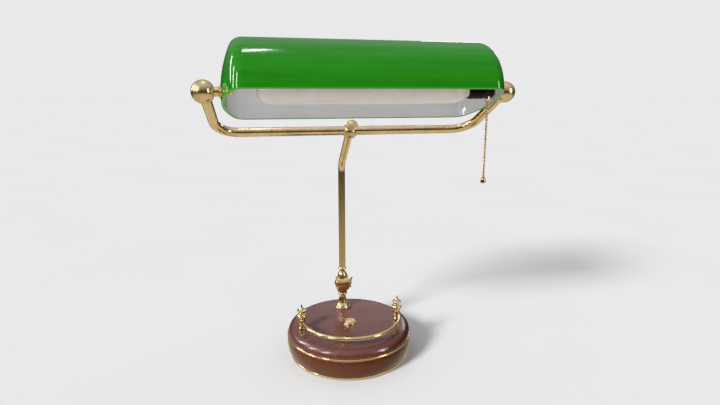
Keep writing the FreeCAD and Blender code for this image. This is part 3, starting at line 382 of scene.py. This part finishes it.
def black_plastic():
    """Moulded black resin, a little grey where it has been handled."""
    material, tree, shader, place = new_finish("moulded_black_resin")
    color = mixed(tree, ranged(tree, noise(tree, place, 120, 5, 0.6), 0.4, 0.75), (0.006, 0.006, 0.007, 1),
                  (0.022, 0.021, 0.020, 1))
    # Corners greyer as handling wear and a painted highlight; hollows darker as grime and painted shade.
    wear_and_shading = use(tree, "Edge Wear and Painted Shading", {"Color": color, "Worn Highlight": (0.06, 0.058, 0.055, 1),
                                   "Grime Shade": (0.003, 0.003, 0.003, 1), "Amount": 0.6})
    tree.links.new(wear_and_shading.outputs["Color"], shader.inputs["Base Color"])
    tree.links.new(ranged(tree, noise(tree, place, 300, 4), 0.35, 0.7, 0.24, 0.42),
                   shader.inputs["Roughness"])
    return material


def felt():
    """Dense green felt with a short nap."""
    material, tree, shader, place = new_finish("green_felt")
    nap = noise(tree, place, 2600, 4, 0.7)
    tone = noise(tree, place, 60, 5, 0.6)
    color = mixed(tree, ranged(tree, nap, 0.35, 0.7), (0.012, 0.034, 0.014, 1), (0.035, 0.085, 0.038, 1))
    color = mixed(tree, ranged(tree, tone, 0.45, 0.75, 0, 0.4), color, (0.05, 0.075, 0.045, 1))
    tree.links.new(color, shader.inputs["Base Color"])
    shader.inputs["Roughness"].default_value = 0.95
    shader.inputs["Sheen Weight"].default_value = 0.35
    bumped(tree, shader, nap, 0.6, 0.0004)
    return material


def plain_metal(name, clean, stained, scale, rough_low, rough_high):
    """Cast or plated metal with stains and a fine skin."""
    material, tree, shader, place = new_finish(name)
    stains = noise(tree, place, scale, 6, 0.65)
    color = mixed(tree, ranged(tree, stains, 0.4, 0.7), clean, stained)
    tree.links.new(color, shader.inputs["Base Color"])
    tree.links.new(ranged(tree, stains, 0.35, 0.7, rough_low, rough_high), shader.inputs["Roughness"])
    shader.inputs["Metallic"].default_value = 1.0
    bumped(tree, shader, noise(tree, place, scale * 14, 4, 0.6), 0.2, 0.0003)
    return material


def rubber():
    material, tree, shader, place = new_finish("soft_black_washer")
    skin = noise(tree, place, 800, 4, 0.6)
    color = mixed(tree, ranged(tree, skin, 0.35, 0.7), (0.010, 0.010, 0.010, 1), (0.030, 0.028, 0.026, 1))
    tree.links.new(color, shader.inputs["Base Color"])
    tree.links.new(ranged(tree, skin, 0.3, 0.7, 0.6, 0.85), shader.inputs["Roughness"])
    bumped(tree, shader, skin, 0.3, 0.0003)
    return material


def give(node, material):
    """A CAD node or a new piece gets one material."""
    piece = FRAME["nodes"].get(node) if isinstance(node, str) else node
    piece.data.materials.clear()
    piece.data.materials.append(material)
    return piece


# ---- Modelling helpers -----------------------------------------------------------------------------------
def start_clean():
    if bpy.context.mode != "OBJECT":
        bpy.ops.object.mode_set(mode="OBJECT")
    bpy.ops.object.select_all(action="DESELECT")


def pick(kind, test):
    """Selects only the edited mesh's vertices, edges or faces that pass the test."""
    bpy.ops.mesh.select_mode(type=kind)
    bpy.ops.mesh.select_all(action="DESELECT")
    form = bmesh.from_edit_mesh(bpy.context.object.data)
    for item in {"VERT": form.verts, "EDGE": form.edges, "FACE": form.faces}[kind]:
        item.select_set(test(item))
    form.select_flush_mode()
    bmesh.update_edit_mesh(bpy.context.object.data)


def middle(item):
    return sum((vertex.co for vertex in item.verts), Vector()) / len(item.verts)


def raise_profile(profile, sides):
    """A turned solid: a filled circle drawn up through (radius, height) steps. It stays in edit mode."""
    start_clean()
    radius, height = profile[0]
    bpy.ops.mesh.primitive_circle_add(vertices=sides, radius=radius, fill_type="NGON", location=(0, 0, 0))
    bpy.ops.object.mode_set(mode="EDIT")
    bpy.ops.mesh.select_all(action="SELECT")
    bpy.ops.transform.translate(value=(0, 0, height))
    for next_radius, next_height in profile[1:]:
        bpy.ops.mesh.extrude_region_move(TRANSFORM_OT_translate={"value": (0, 0, next_height - height)})
        ratio = next_radius / radius
        bpy.ops.transform.resize(value=(ratio, ratio, 1), center_override=(0, 0, next_height))
        radius, height = next_radius, next_height
    bpy.ops.mesh.select_all(action="SELECT")
    bpy.ops.mesh.normals_make_consistent(inside=False)
    return bpy.context.object


def apply_modifier(piece, kind, **settings):
    modifier = piece.modifiers.new(kind.title(), kind)
    for key, value in settings.items():
        setattr(modifier, key, value)
    bpy.ops.object.modifier_apply(modifier=modifier.name)


def stand_in_place(piece, name, origin, way, body, material, replaced):
    """The finished piece turns its Z axis along a direction, moves to its place and rides on its body."""
    start_clean()
    piece.select_set(True)
    bpy.context.view_layer.objects.active = piece
    piece.name = name
    piece.data.name = name
    piece.rotation_mode = "QUATERNION"
    piece.rotation_quaternion = Vector((0, 0, 1)).rotation_difference(Vector(way))
    piece.location = origin
    bpy.ops.object.transform_apply(location=True, rotation=True, scale=True)
    bpy.ops.object.shade_smooth_by_angle(angle=math.radians(35))
    give(piece, material)
    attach(piece, body)
    if replaced:
        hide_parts(*replaced)
    return piece


def reach(node, origin, way):
    """How far a CAD node reaches along a line and away from it: lowest, highest, widest."""
    origin, way = Vector(origin), Vector(way).normalized()
    offsets = [vertex.co - origin for vertex in FRAME["nodes"][node].data.vertices]
    along = [offset.dot(way) for offset in offsets]
    away = [(offset - way * offset.dot(way)).length for offset in offsets]
    return min(along), max(along), max(away)


def bore_through(radius):
    """A round hole along Z through the edited solid's flat ends, which are single faces."""
    ends = {}

    def is_end(face):
        return abs(face.normal.z) > 0.99 and middle(face).xy.length < 0.02 * MM

    form = bmesh.from_edit_mesh(bpy.context.object.data)
    for face in form.faces:
        if is_end(face):
            ends[face.index] = max(vertex.co.xy.length for vertex in face.verts)
    pick("FACE", is_end)
    bpy.ops.mesh.inset(thickness=max(ends.values()) * 0.1)
    form = bmesh.from_edit_mesh(bpy.context.object.data)
    for face in form.faces:
        if face.select:
            for vertex in face.verts:
                vertex.co.xy = vertex.co.xy.normalized() * radius
    bmesh.update_edit_mesh(bpy.context.object.data)
    bpy.ops.mesh.bridge_edge_loops()
    bpy.ops.mesh.select_all(action="SELECT")
    bpy.ops.mesh.normals_make_consistent(inside=False)


# ---- Operators: one for each group of pieces --------------------------------------------------------------
class LAMP_OT_finishes(bpy.types.Operator):
    """Make the shared effects and every finish"""
    bl_idname = "lamp.finishes"
    bl_label = "Make finishes"

    def execute(self, context):
        finishes = context.scene.lamp_finishes
        build_patina()
        build_edge_wear()
        build_wood_grain()
        build_drawn_lines()
        build_dust()
        brass("polished_brass", 0.40, 42)
        brass("column_brass", 0.70, 60, (1, 1, 0.25))
        brass("fittings_brass", 0.55, 75, rough=0.08)
        brass("chain_brass", 1.6, 240)
        brass("satin_brass", 0.4, 90, rough=0.24)
        wood("hardwood_side", finishes.wood_light, finishes.wood_dark)
        # The top board gets a lighter, pinker copy of the wood: a painted reflection of the sky on the top.
        wood("hardwood_top_painted_sheen", (0.152, 0.062, 0.050, 1), (0.100, 0.039, 0.032, 1))
        green_glass()
        opal_glass()
        bulb_glass()
        black_plastic()
        felt()
        rubber()
        plain_metal("cast_iron", (0.10, 0.10, 0.10, 1), (0.05, 0.035, 0.03, 1), 60, 0.55, 0.8)
        plain_metal("zinc_plate", (0.62, 0.62, 0.60, 1), (0.42, 0.41, 0.38, 1), 90, 0.25, 0.45)
        plain_metal("tungsten", (0.36, 0.34, 0.31, 1), (0.22, 0.20, 0.18, 1), 400, 0.3, 0.5)
        return {"FINISHED"}


NODE_FINISHES = {
    "hardwood_side": ("base_lower",),
    "hardwood_top_painted_sheen": ("base_top",),
    "green_felt": ("felt_pad",),
    "cast_iron": ("ballast_plate",),
    "zinc_plate": ("ballast_screw_1", "ballast_screw_2", "ballast_screw_3", "nipple_washer", "nipple_nut",
                   "post_stud_left", "post_stud_right"),
    "polished_brass": ("bottom_band", "inlay_ring", "gallery_rail", "rail_post_left", "rail_post_right",
                       "finial_left", "finial_right", "yoke_tube", "cord_bush", "shade_washer_left",
                       "shade_washer_right", "shade_spacer_left", "shade_spacer_right", "button_bezel",
                       "socket_ring", "bulb_cap", "pivot_stud_left", "pivot_stud_right"),
    "fittings_brass": ("column_flange", "column_bell", "column_nipple", "knuckle_fork", "knuckle_bolt",
                       "knuckle_washer_left", "knuckle_washer_right", "wing_nut", "knuckle_tongue",
                       "tube_collar",
                       "clamp_ball", "clamp_screw", "yoke_ball_left", "yoke_ball_right", "shade_nut_left",
                       "shade_nut_right", "chain_mouth"),
    "column_brass": ("column_tube",),
    "satin_brass": ("push_button",),
    "chain_brass": ("pull_link", "bead_chain", "chain_bell"),
    "green_cased_glass": ("shade_glass",),
    "opal_lining_glass": ("shade_lining",),
    "frosted_bulb_glass": ("bulb_glass",),
    "tungsten": ("filament",),
    "moulded_black_resin": ("socket_shell", "socket_cap", "switch_body"),
    "soft_black_washer": ("inner_washer_left", "inner_washer_right"),
}


class LAMP_OT_finish_nodes(bpy.types.Operator):
    """Give each CAD node its finish"""
    bl_idname = "lamp.finish_nodes"
    bl_label = "Finish the frame's parts"

    def execute(self, context):
        for finish, nodes in NODE_FINISHES.items():
            for node in nodes:
                give(node, bpy.data.materials[finish])
        for node in ("shade_glass", "shade_lining"):
            FRAME["nodes"][node].visible_glossy = False
        return {"FINISHED"}


class LAMP_OT_thumb_screw(bpy.types.Operator):
    """Turn the clamp's thumb screw and cut the flutes round its head"""
    bl_idname = "lamp.thumb_screw"
    bl_label = "Model thumb screw"

    def execute(self, context):
        flutes = context.scene.lamp_details.coin_edges
        joint = JOINTS["clamp_screw_turn"]
        tip, top, head_r = reach("clamp_screw", joint["pos_m"], joint["axis"])
        head = top - 3.5 * MM
        neck_r = 0.58 * head_r
        shank_r = 0.345 * head_r
        screw = raise_profile([
            (shank_r - 0.4 * MM, tip), (shank_r, tip + 0.5 * MM), (shank_r, tip + 2.9 * MM),
            (neck_r - 0.5 * MM, tip + 2.9 * MM), (neck_r, tip + 3.4 * MM),
            (neck_r - 0.7 * MM, tip + 5.0 * MM),
            (neck_r - 0.7 * MM, head - 0.8 * MM), (neck_r + 0.4 * MM, head - 0.2 * MM),
            (head_r - 1.0 * MM, head),
            (head_r - 0.3 * MM, head + 0.2 * MM), (head_r, head + 0.6 * MM), (head_r, head + 2.3 * MM),
            (head_r - 0.3 * MM, head + 2.7 * MM), (head_r - 0.9 * MM, head + 2.9 * MM),
            (head_r - 1.4 * MM, head + 2.9 * MM), (head_r - 1.7 * MM, head + 2.6 * MM),
            (head_r - 2.1 * MM, head + 2.6 * MM), (head_r - 3.2 * MM, head + 3.1 * MM), (1.2 * MM, top)],
                              2 * flutes)
        turn = math.pi / flutes

        def is_flute(face):
            place = middle(face)
            step = round(math.atan2(place.y, place.x) / turn - 0.5)
            return (place.xy.length > head_r - 0.1 * MM and head + 0.7 * MM < place.z < head + 2.2 * MM
                    and step % 2 == 0)

        pick("FACE", is_flute)
        bpy.ops.mesh.inset(thickness=0.08 * MM, use_individual=True)
        bpy.ops.transform.shrink_fatten(value=-0.3 * MM)
        stand_in_place(screw, "thumb_screw", joint["pos_m"], joint["axis"], "clamp_screw",
                       bpy.data.materials["satin_brass"], ("clamp_screw",))
        return {"FINISHED"}


class LAMP_OT_wing_nut(bpy.types.Operator):
    """Shape the knuckle's wing nut from a turned hub and two forged wings"""
    bl_idname = "lamp.wing_nut"
    bl_label = "Model wing nut"

    def execute(self, context):
        joint = JOINTS["wing_nut_turn"]
        low, high, span = reach("wing_nut", joint["pos_m"], joint["axis"])
        hub_r, hub_h = 0.40 * span, 0.62 * (high - low)
        hub = raise_profile([
            (hub_r - 0.3 * MM, low), (hub_r, low + 0.25 * MM), (hub_r, low + 0.3 * hub_h),
            (hub_r - 0.5 * MM, low + 0.45 * hub_h), (hub_r - 0.8 * MM, low + hub_h - 0.3 * MM),
            (hub_r - 1.0 * MM, low + hub_h)], 40)
        bore_through(2.6 * MM)
        start_clean()
        for turn in (0, math.pi):
            wing = wing_blade(hub_r, span, low, high)
            wing.rotation_euler.z = turn
            bpy.ops.object.transform_apply(location=True, rotation=True, scale=True)
            bpy.context.view_layer.objects.active = hub
            apply_modifier(hub, "BOOLEAN", object=wing, operation="UNION", solver="EXACT")
            bpy.data.objects.remove(wing)
        tip = max((vertex.co - Vector(joint["pos_m"]) for vertex in FRAME["nodes"]["wing_nut"].data.vertices),
                  key=lambda offset: offset.yz.length)
        start_clean()
        hub.select_set(True)
        context.view_layer.objects.active = hub
        hub.rotation_euler.z = math.atan2(tip.y, -tip.z)
        bpy.ops.object.transform_apply(location=True, rotation=True, scale=True)
        stand_in_place(hub, "forged_wing_nut", joint["pos_m"], joint["axis"], "wing_nut",
                       bpy.data.materials["fittings_brass"], ("wing_nut",))
        return {"FINISHED"}


def wing_blade(hub_r, span, low, high):
    """One wing: a block drawn out and up from the hub, waisted at its root and rounded all over."""
    start_clean()
    root = hub_r - 1.2 * MM
    bpy.ops.mesh.primitive_cube_add(size=1, location=(root + 0.6 * MM, 0, low + 0.36 * (high - low)),
                                    scale=(1.6 * MM, 2.4 * MM, 0.55 * (high - low)))
    bpy.ops.object.transform_apply(location=True, rotation=True, scale=True)
    wing = bpy.context.object
    bpy.ops.object.mode_set(mode="EDIT")
    for out, up, width, height in ((0.30, 0.12, 0.75, 1.0), (0.35, 0.16, 0.9, 1.15), (0.35, 0.10, 0.9, 0.8)):
        pick("FACE", lambda face: face.normal.x > 0.6 and middle(face).x > max(
            vertex.co.x for vertex in bpy.context.object.data.vertices) - 0.9 * MM)
        bpy.ops.mesh.extrude_region_move(TRANSFORM_OT_translate={
            "value": (out * (span - root), 0, up * (high - low))})
        bpy.ops.transform.resize(value=(1, width, height))
        bpy.ops.object.mode_set(mode="OBJECT")
        bpy.ops.object.mode_set(mode="EDIT")
    bpy.ops.object.mode_set(mode="OBJECT")
    apply_modifier(wing, "SUBSURF", levels=2, render_levels=2)
    return wing


class LAMP_OT_bead_chain(bpy.types.Operator):
    """String the pull chain: hollow beads with a seam on a fine wire"""
    bl_idname = "lamp.bead_chain"
    bl_label = "Model bead chain"

    def execute(self, context):
        seam = context.scene.lamp_details.bead_seam
        swing = Vector(JOINTS["chain_swing"]["pos_m"])
        low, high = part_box("bead_chain")
        count = int((swing.z - low.z) / BEAD_PITCH)
        string_beads("pull_beads", swing - Vector((0, 0, BEAD_PITCH)), -BEAD_PITCH, count, (low.z, high.z),
                     seam,
                     "pull_chain", "bead_chain")
        low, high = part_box("pull_link")
        count = round((high.z - low.z - 2 * BEAD_R) / BEAD_PITCH) + 1
        string_beads("mouth_beads", swing, BEAD_PITCH, count, (swing.z, high.z - BEAD_R), seam,
                     "pull_link", "pull_link")
        return {"FINISHED"}


def string_beads(name, first, step, count, wire_ends, seam, body, replaced):
    """A row of seamed beads, one modelled and the rest copied, with the wire that holds them."""
    start_clean()
    bpy.ops.mesh.primitive_uv_sphere_add(segments=16, ring_count=10, radius=BEAD_R, location=(0, 0, 0))
    beads = bpy.context.object
    bpy.ops.object.mode_set(mode="EDIT")
    pick("EDGE", lambda edge: all(abs(vertex.co.z) < 0.01 * MM for vertex in edge.verts))
    bpy.ops.mesh.bevel(offset=seam, segments=2)
    pick("EDGE", lambda edge: all(abs(vertex.co.z) < 0.01 * MM for vertex in edge.verts))
    bpy.ops.transform.resize(value=(0.92, 0.92, 1))
    bpy.ops.object.mode_set(mode="OBJECT")
    apply_modifier(beads, "ARRAY", count=count, use_relative_offset=False, use_constant_offset=True,
                   constant_offset_displace=(0, 0, step))
    beads.location = first
    bpy.ops.object.transform_apply(location=True, rotation=True, scale=True)
    low, high = wire_ends
    bpy.ops.mesh.primitive_cylinder_add(vertices=10, radius=CHAIN_WIRE_R, depth=high - low,
                                        location=(first.x, first.y, (low + high) / 2))
    beads.select_set(True)
    bpy.context.view_layer.objects.active = beads
    bpy.ops.object.join()
    stand_in_place(beads, name, (0, 0, 0), (0, 0, 1), body, bpy.data.materials["chain_brass"],
                   (replaced,))


class LAMP_OT_filament(bpy.types.Operator):
    """Wind the filament and set it on its glass stem and lead wires"""
    bl_idname = "lamp.filament"
    bl_label = "Model filament"

    def execute(self, context):
        pitch = context.scene.lamp_details.coil_pitch
        low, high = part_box("filament")
        bulb_low, bulb_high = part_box("bulb_glass")
        axis_y = (bulb_low.y + bulb_high.y) / 2
        axis_z = (bulb_low.z + bulb_high.z) / 2
        stem_l = 15 * MM
        coil_l = high.x - stem_l - low.x
        start_clean()
        bpy.ops.mesh.primitive_circle_add(vertices=6, radius=0.13 * MM, fill_type="NGON",
                                          location=(0.55 * MM, 0, 0), rotation=(math.pi / 2, 0, 0))
        coil = bpy.context.object
        bpy.ops.object.transform_apply(location=True, rotation=True, scale=True)
        bpy.ops.object.mode_set(mode="EDIT")
        pick("FACE", lambda face: True)
        bpy.ops.mesh.delete(type="ONLY_FACE")
        bpy.ops.object.mode_set(mode="OBJECT")
        apply_modifier(coil, "SCREW", axis="Z", screw_offset=pitch, iterations=int(coil_l / pitch), steps=10,
                       render_steps=10, use_normal_calculate=True)
        bpy.ops.object.mode_set(mode="EDIT")
        bpy.ops.mesh.select_mode(type="EDGE")
        bpy.ops.mesh.select_all(action="DESELECT")
        bpy.ops.mesh.select_non_manifold()
        bpy.ops.mesh.fill()
        bpy.ops.mesh.select_all(action="SELECT")
        bpy.ops.mesh.normals_make_consistent(inside=False)
        bpy.ops.object.mode_set(mode="OBJECT")
        stand_in_place(coil, "filament_coil", (low.x, axis_y, axis_z), (1, 0, 0), "shade",
                       bpy.data.materials["tungsten"], ("filament",))
        mount = filament_mount(stem_l, coil_l, axis_z - low.z)
        stand_in_place(mount, "filament_mount", (high.x, axis_y, axis_z), (-1, 0, 0), "shade",
                       bpy.data.materials["tungsten"], ())
        return {"FINISHED"}


def filament_mount(stem_l, coil_l, drop):
    """Pinched stem with the return lead beside the coil, drawn along Z from the bulb's neck."""
    stem = raise_profile([(2.0 * MM, 0), (2.2 * MM, 0.6 * MM), (1.5 * MM, 3 * MM), (1.2 * MM, 0.75 * stem_l),
                          (1.6 * MM, 0.85 * stem_l), (1.5 * MM, 0.97 * stem_l), (0.7 * MM, stem_l)], 20)
    bpy.ops.object.mode_set(mode="OBJECT")
    wire_r = 0.4 * MM
    side = drop - 0.5 * MM
    for z, length, across in ((0.7 * stem_l + coil_l / 2, coil_l + 0.5 * stem_l, False),
                              (0.5 * stem_l, side, True), (stem_l + coil_l - 0.8 * MM, side, True)):
        place = (side / 2, 0, z) if across else (side, 0, z)
        bpy.ops.mesh.primitive_cylinder_add(vertices=10, radius=wire_r, depth=length, location=place,
                                            rotation=(0, math.pi / 2 if across else 0, 0))
        stem.select_set(True)
        bpy.context.view_layer.objects.active = stem
        bpy.ops.object.join()
    return stem


class LAMP_OT_shade_nuts(bpy.types.Operator):
    """Cut the chamfered hexagon nuts that hold the shade on its studs"""
    bl_idname = "lamp.shade_nuts"
    bl_label = "Model shade nuts"

    def execute(self, context):
        chamfer = context.scene.lamp_details.nut_chamfer
        for side in ("left", "right"):
            node = f"shade_nut_{side}"
            low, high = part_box(node)
            centre = (low + high) / 2
            depth = high.x - low.x
            start_clean()
            bpy.ops.mesh.primitive_cylinder_add(vertices=6, radius=(high.y - low.y) / 2, depth=depth,
                                                location=(0, 0, 0))
            nut = context.object
            bpy.ops.object.mode_set(mode="EDIT")
            pick("EDGE", lambda edge: abs(edge.verts[0].co.z - edge.verts[1].co.z) < 0.01 * MM)
            bpy.ops.mesh.bevel(offset=chamfer, segments=2)
            bore_through(3.65 * MM)
            bpy.ops.object.mode_set(mode="OBJECT")
            stand_in_place(nut, f"hexagon_nut_{side}", centre, (1, 0, 0), "shade",
                           bpy.data.materials["fittings_brass"], (node,))
        return {"FINISHED"}


class LAMP_OT_stage(bpy.types.Operator):
    """Set the floor, the soft light and the camera"""
    bl_idname = "lamp.stage"
    bl_label = "Set the stage"

    def execute(self, context):
        build_floor()
        build_world()
        build_key()
        for number, turn in enumerate((215, 186, 157)):
            away = Vector((math.cos(math.radians(turn)), math.sin(math.radians(turn)), 0.62))
            soft_light(f"left_window_{number}", 1.6 * away, (0.10, 0.8), 9, (0, -0.05, 0.25))
        soft_light("top_strip", (-0.10, 0.03, 1.60), (0.14, 0.035), 1.6, (0, -0.05, 0.3))
        soft_light("right_fill", (1.5, -1.3, 0.7), (0.25, 0.9), 12, (0, 0, 0.25))
        soft_light("back_strip", (1.1, 1.5, 0.9), (0.9, 0.12), 2, (0, 0, 0.3))
        soft_light("back_glow", (0.9, 2.3, 0.95), (2.6, 0.40), 1.6, (0, 0, 0.3))
        build_camera(context.scene)
        return {"FINISHED"}


def build_floor():
    """A wide pale floor; polished pieces mirror the dark surroundings and not the floor."""
    start_clean()
    bpy.ops.mesh.primitive_plane_add(size=2 * FLOOR_HALF, location=(0, 0, 0))
    floor = bpy.context.object
    floor.name = "floor"
    material, tree, shader, place = new_finish("pale_floor")
    tone = ranged(tree, noise(tree, place, 3.0, 4), 0.3, 0.7, 0, 1)
    tree.links.new(mixed(tree, tone, (0.77, 0.77, 0.76, 1), (0.80, 0.80, 0.79, 1)),
                   shader.inputs["Base Color"])
    shader.inputs["Roughness"].default_value = 0.9
    shader.inputs["Specular IOR Level"].default_value = 0.0
    floor.data.materials.append(material)
    floor.visible_glossy = False


def build_world():
    """Dim surroundings that brighten overhead and underfoot; seen directly they are as pale as the floor."""
    world = bpy.data.worlds.new("studio")
    bpy.context.scene.world = world
    world.use_nodes = True
    tree = world.node_tree
    height = add(tree, "ShaderNodeSeparateXYZ",
                 {"Vector": add(tree, "ShaderNodeTexCoord").outputs["Generated"]}).outputs["Z"]
    around = mixed(tree, ranged(tree, height, 0.05, 0.95), (0.05, 0.05, 0.055, 1), (0.75, 0.75, 0.79, 1))
    around = mixed(tree, ranged(tree, height, -0.12, -0.45), around, (0.66, 0.60, 0.50, 1))
    seen = add(tree, "ShaderNodeLightPath").outputs["Is Camera Ray"]
    background = tree.nodes["Background"]
    tree.links.new(mixed(tree, seen, around, PALE), background.inputs["Color"])
    background.inputs["Strength"].default_value = 1.0


def soft_light(name, place, size, power, target):
    """A soft box that looks at a point of the lamp and shows only as a reflection in it."""
    data = bpy.data.lights.new(name, "AREA")
    data.shape = "RECTANGLE"
    data.size, data.size_y = size
    data.energy = power
    light = bpy.data.objects.new(name, data)
    bpy.context.scene.collection.objects.link(light)
    light.location = place
    light.rotation_mode = "QUATERNION"
    light.rotation_quaternion = (Vector(target) - Vector(place)).to_track_quat("-Z", "Y")
    light.visible_camera = False
    light.visible_diffuse = False
    return light


def build_key():
    """Broad even light from the front left that casts the lamp's soft shadow."""
    data = bpy.data.lights.new("key", "SUN")
    data.energy = 3.6
    data.angle = math.radians(14)
    key = bpy.data.objects.new("key", data)
    bpy.context.scene.collection.objects.link(key)
    key.rotation_mode = "QUATERNION"
    key.rotation_quaternion = Vector((0.702, 0.488, -0.519)).to_track_quat("-Z", "Y")
    key.visible_glossy = False


def build_camera(scene):
    """A camera in front of the lamp, a little to its left and above it."""
    data = bpy.data.cameras.new("camera")
    data.sensor_width = 36
    data.lens = 24.43
    data.clip_start = 0.02
    camera = bpy.data.objects.new("camera", data)
    scene.collection.objects.link(camera)
    camera.location = (-0.1235, -0.6153, 0.3504)
    camera.rotation_mode = "QUATERNION"
    camera.rotation_quaternion = Vector((0.2151, 0.9520, -0.2174)).to_track_quat("-Z", "Y")
    scene.camera = camera
    scene.view_settings.view_transform = "Khronos PBR Neutral"
    scene.view_settings.exposure = 0.0


class LAMP_PT_panel(bpy.types.Panel):
    """The lamp's pieces, one button each"""
    bl_label = "Desk Lamp"
    bl_idname = "LAMP_PT_panel"
    bl_space_type = "VIEW_3D"
    bl_region_type = "UI"
    bl_category = "Desk Lamp"

    def draw(self, context):
        for group in (context.scene.lamp_finishes, context.scene.lamp_details):
            for name in group.__annotations__:
                self.layout.prop(group, name)
        for operator in OPERATORS:
            self.layout.operator(operator.bl_idname)


OPERATORS = (LAMP_OT_finishes, LAMP_OT_finish_nodes, LAMP_OT_thumb_screw, LAMP_OT_wing_nut,
             LAMP_OT_bead_chain,
             LAMP_OT_filament, LAMP_OT_shade_nuts, LAMP_OT_stage)
GROUPS = (LampFinishes, LampDetails)


def register():
    for item in GROUPS + OPERATORS + (LAMP_PT_panel,):
        bpy.utils.register_class(item)
    bpy.types.Scene.lamp_finishes = bpy.props.PointerProperty(type=LampFinishes)
    bpy.types.Scene.lamp_details = bpy.props.PointerProperty(type=LampDetails)


def unregister():
    del bpy.types.Scene.lamp_details
    del bpy.types.Scene.lamp_finishes
    for item in reversed(GROUPS + OPERATORS + (LAMP_PT_panel,)):
        bpy.utils.unregister_class(item)


def main():
    register()
    bpy.ops.lamp.finishes()
    bpy.ops.lamp.finish_nodes()
    bpy.ops.lamp.thumb_screw()
    bpy.ops.lamp.wing_nut()
    bpy.ops.lamp.bead_chain()
    bpy.ops.lamp.filament()
    bpy.ops.lamp.shade_nuts()
    bpy.ops.lamp.stage()


if __name__ == "__main__":
    main()
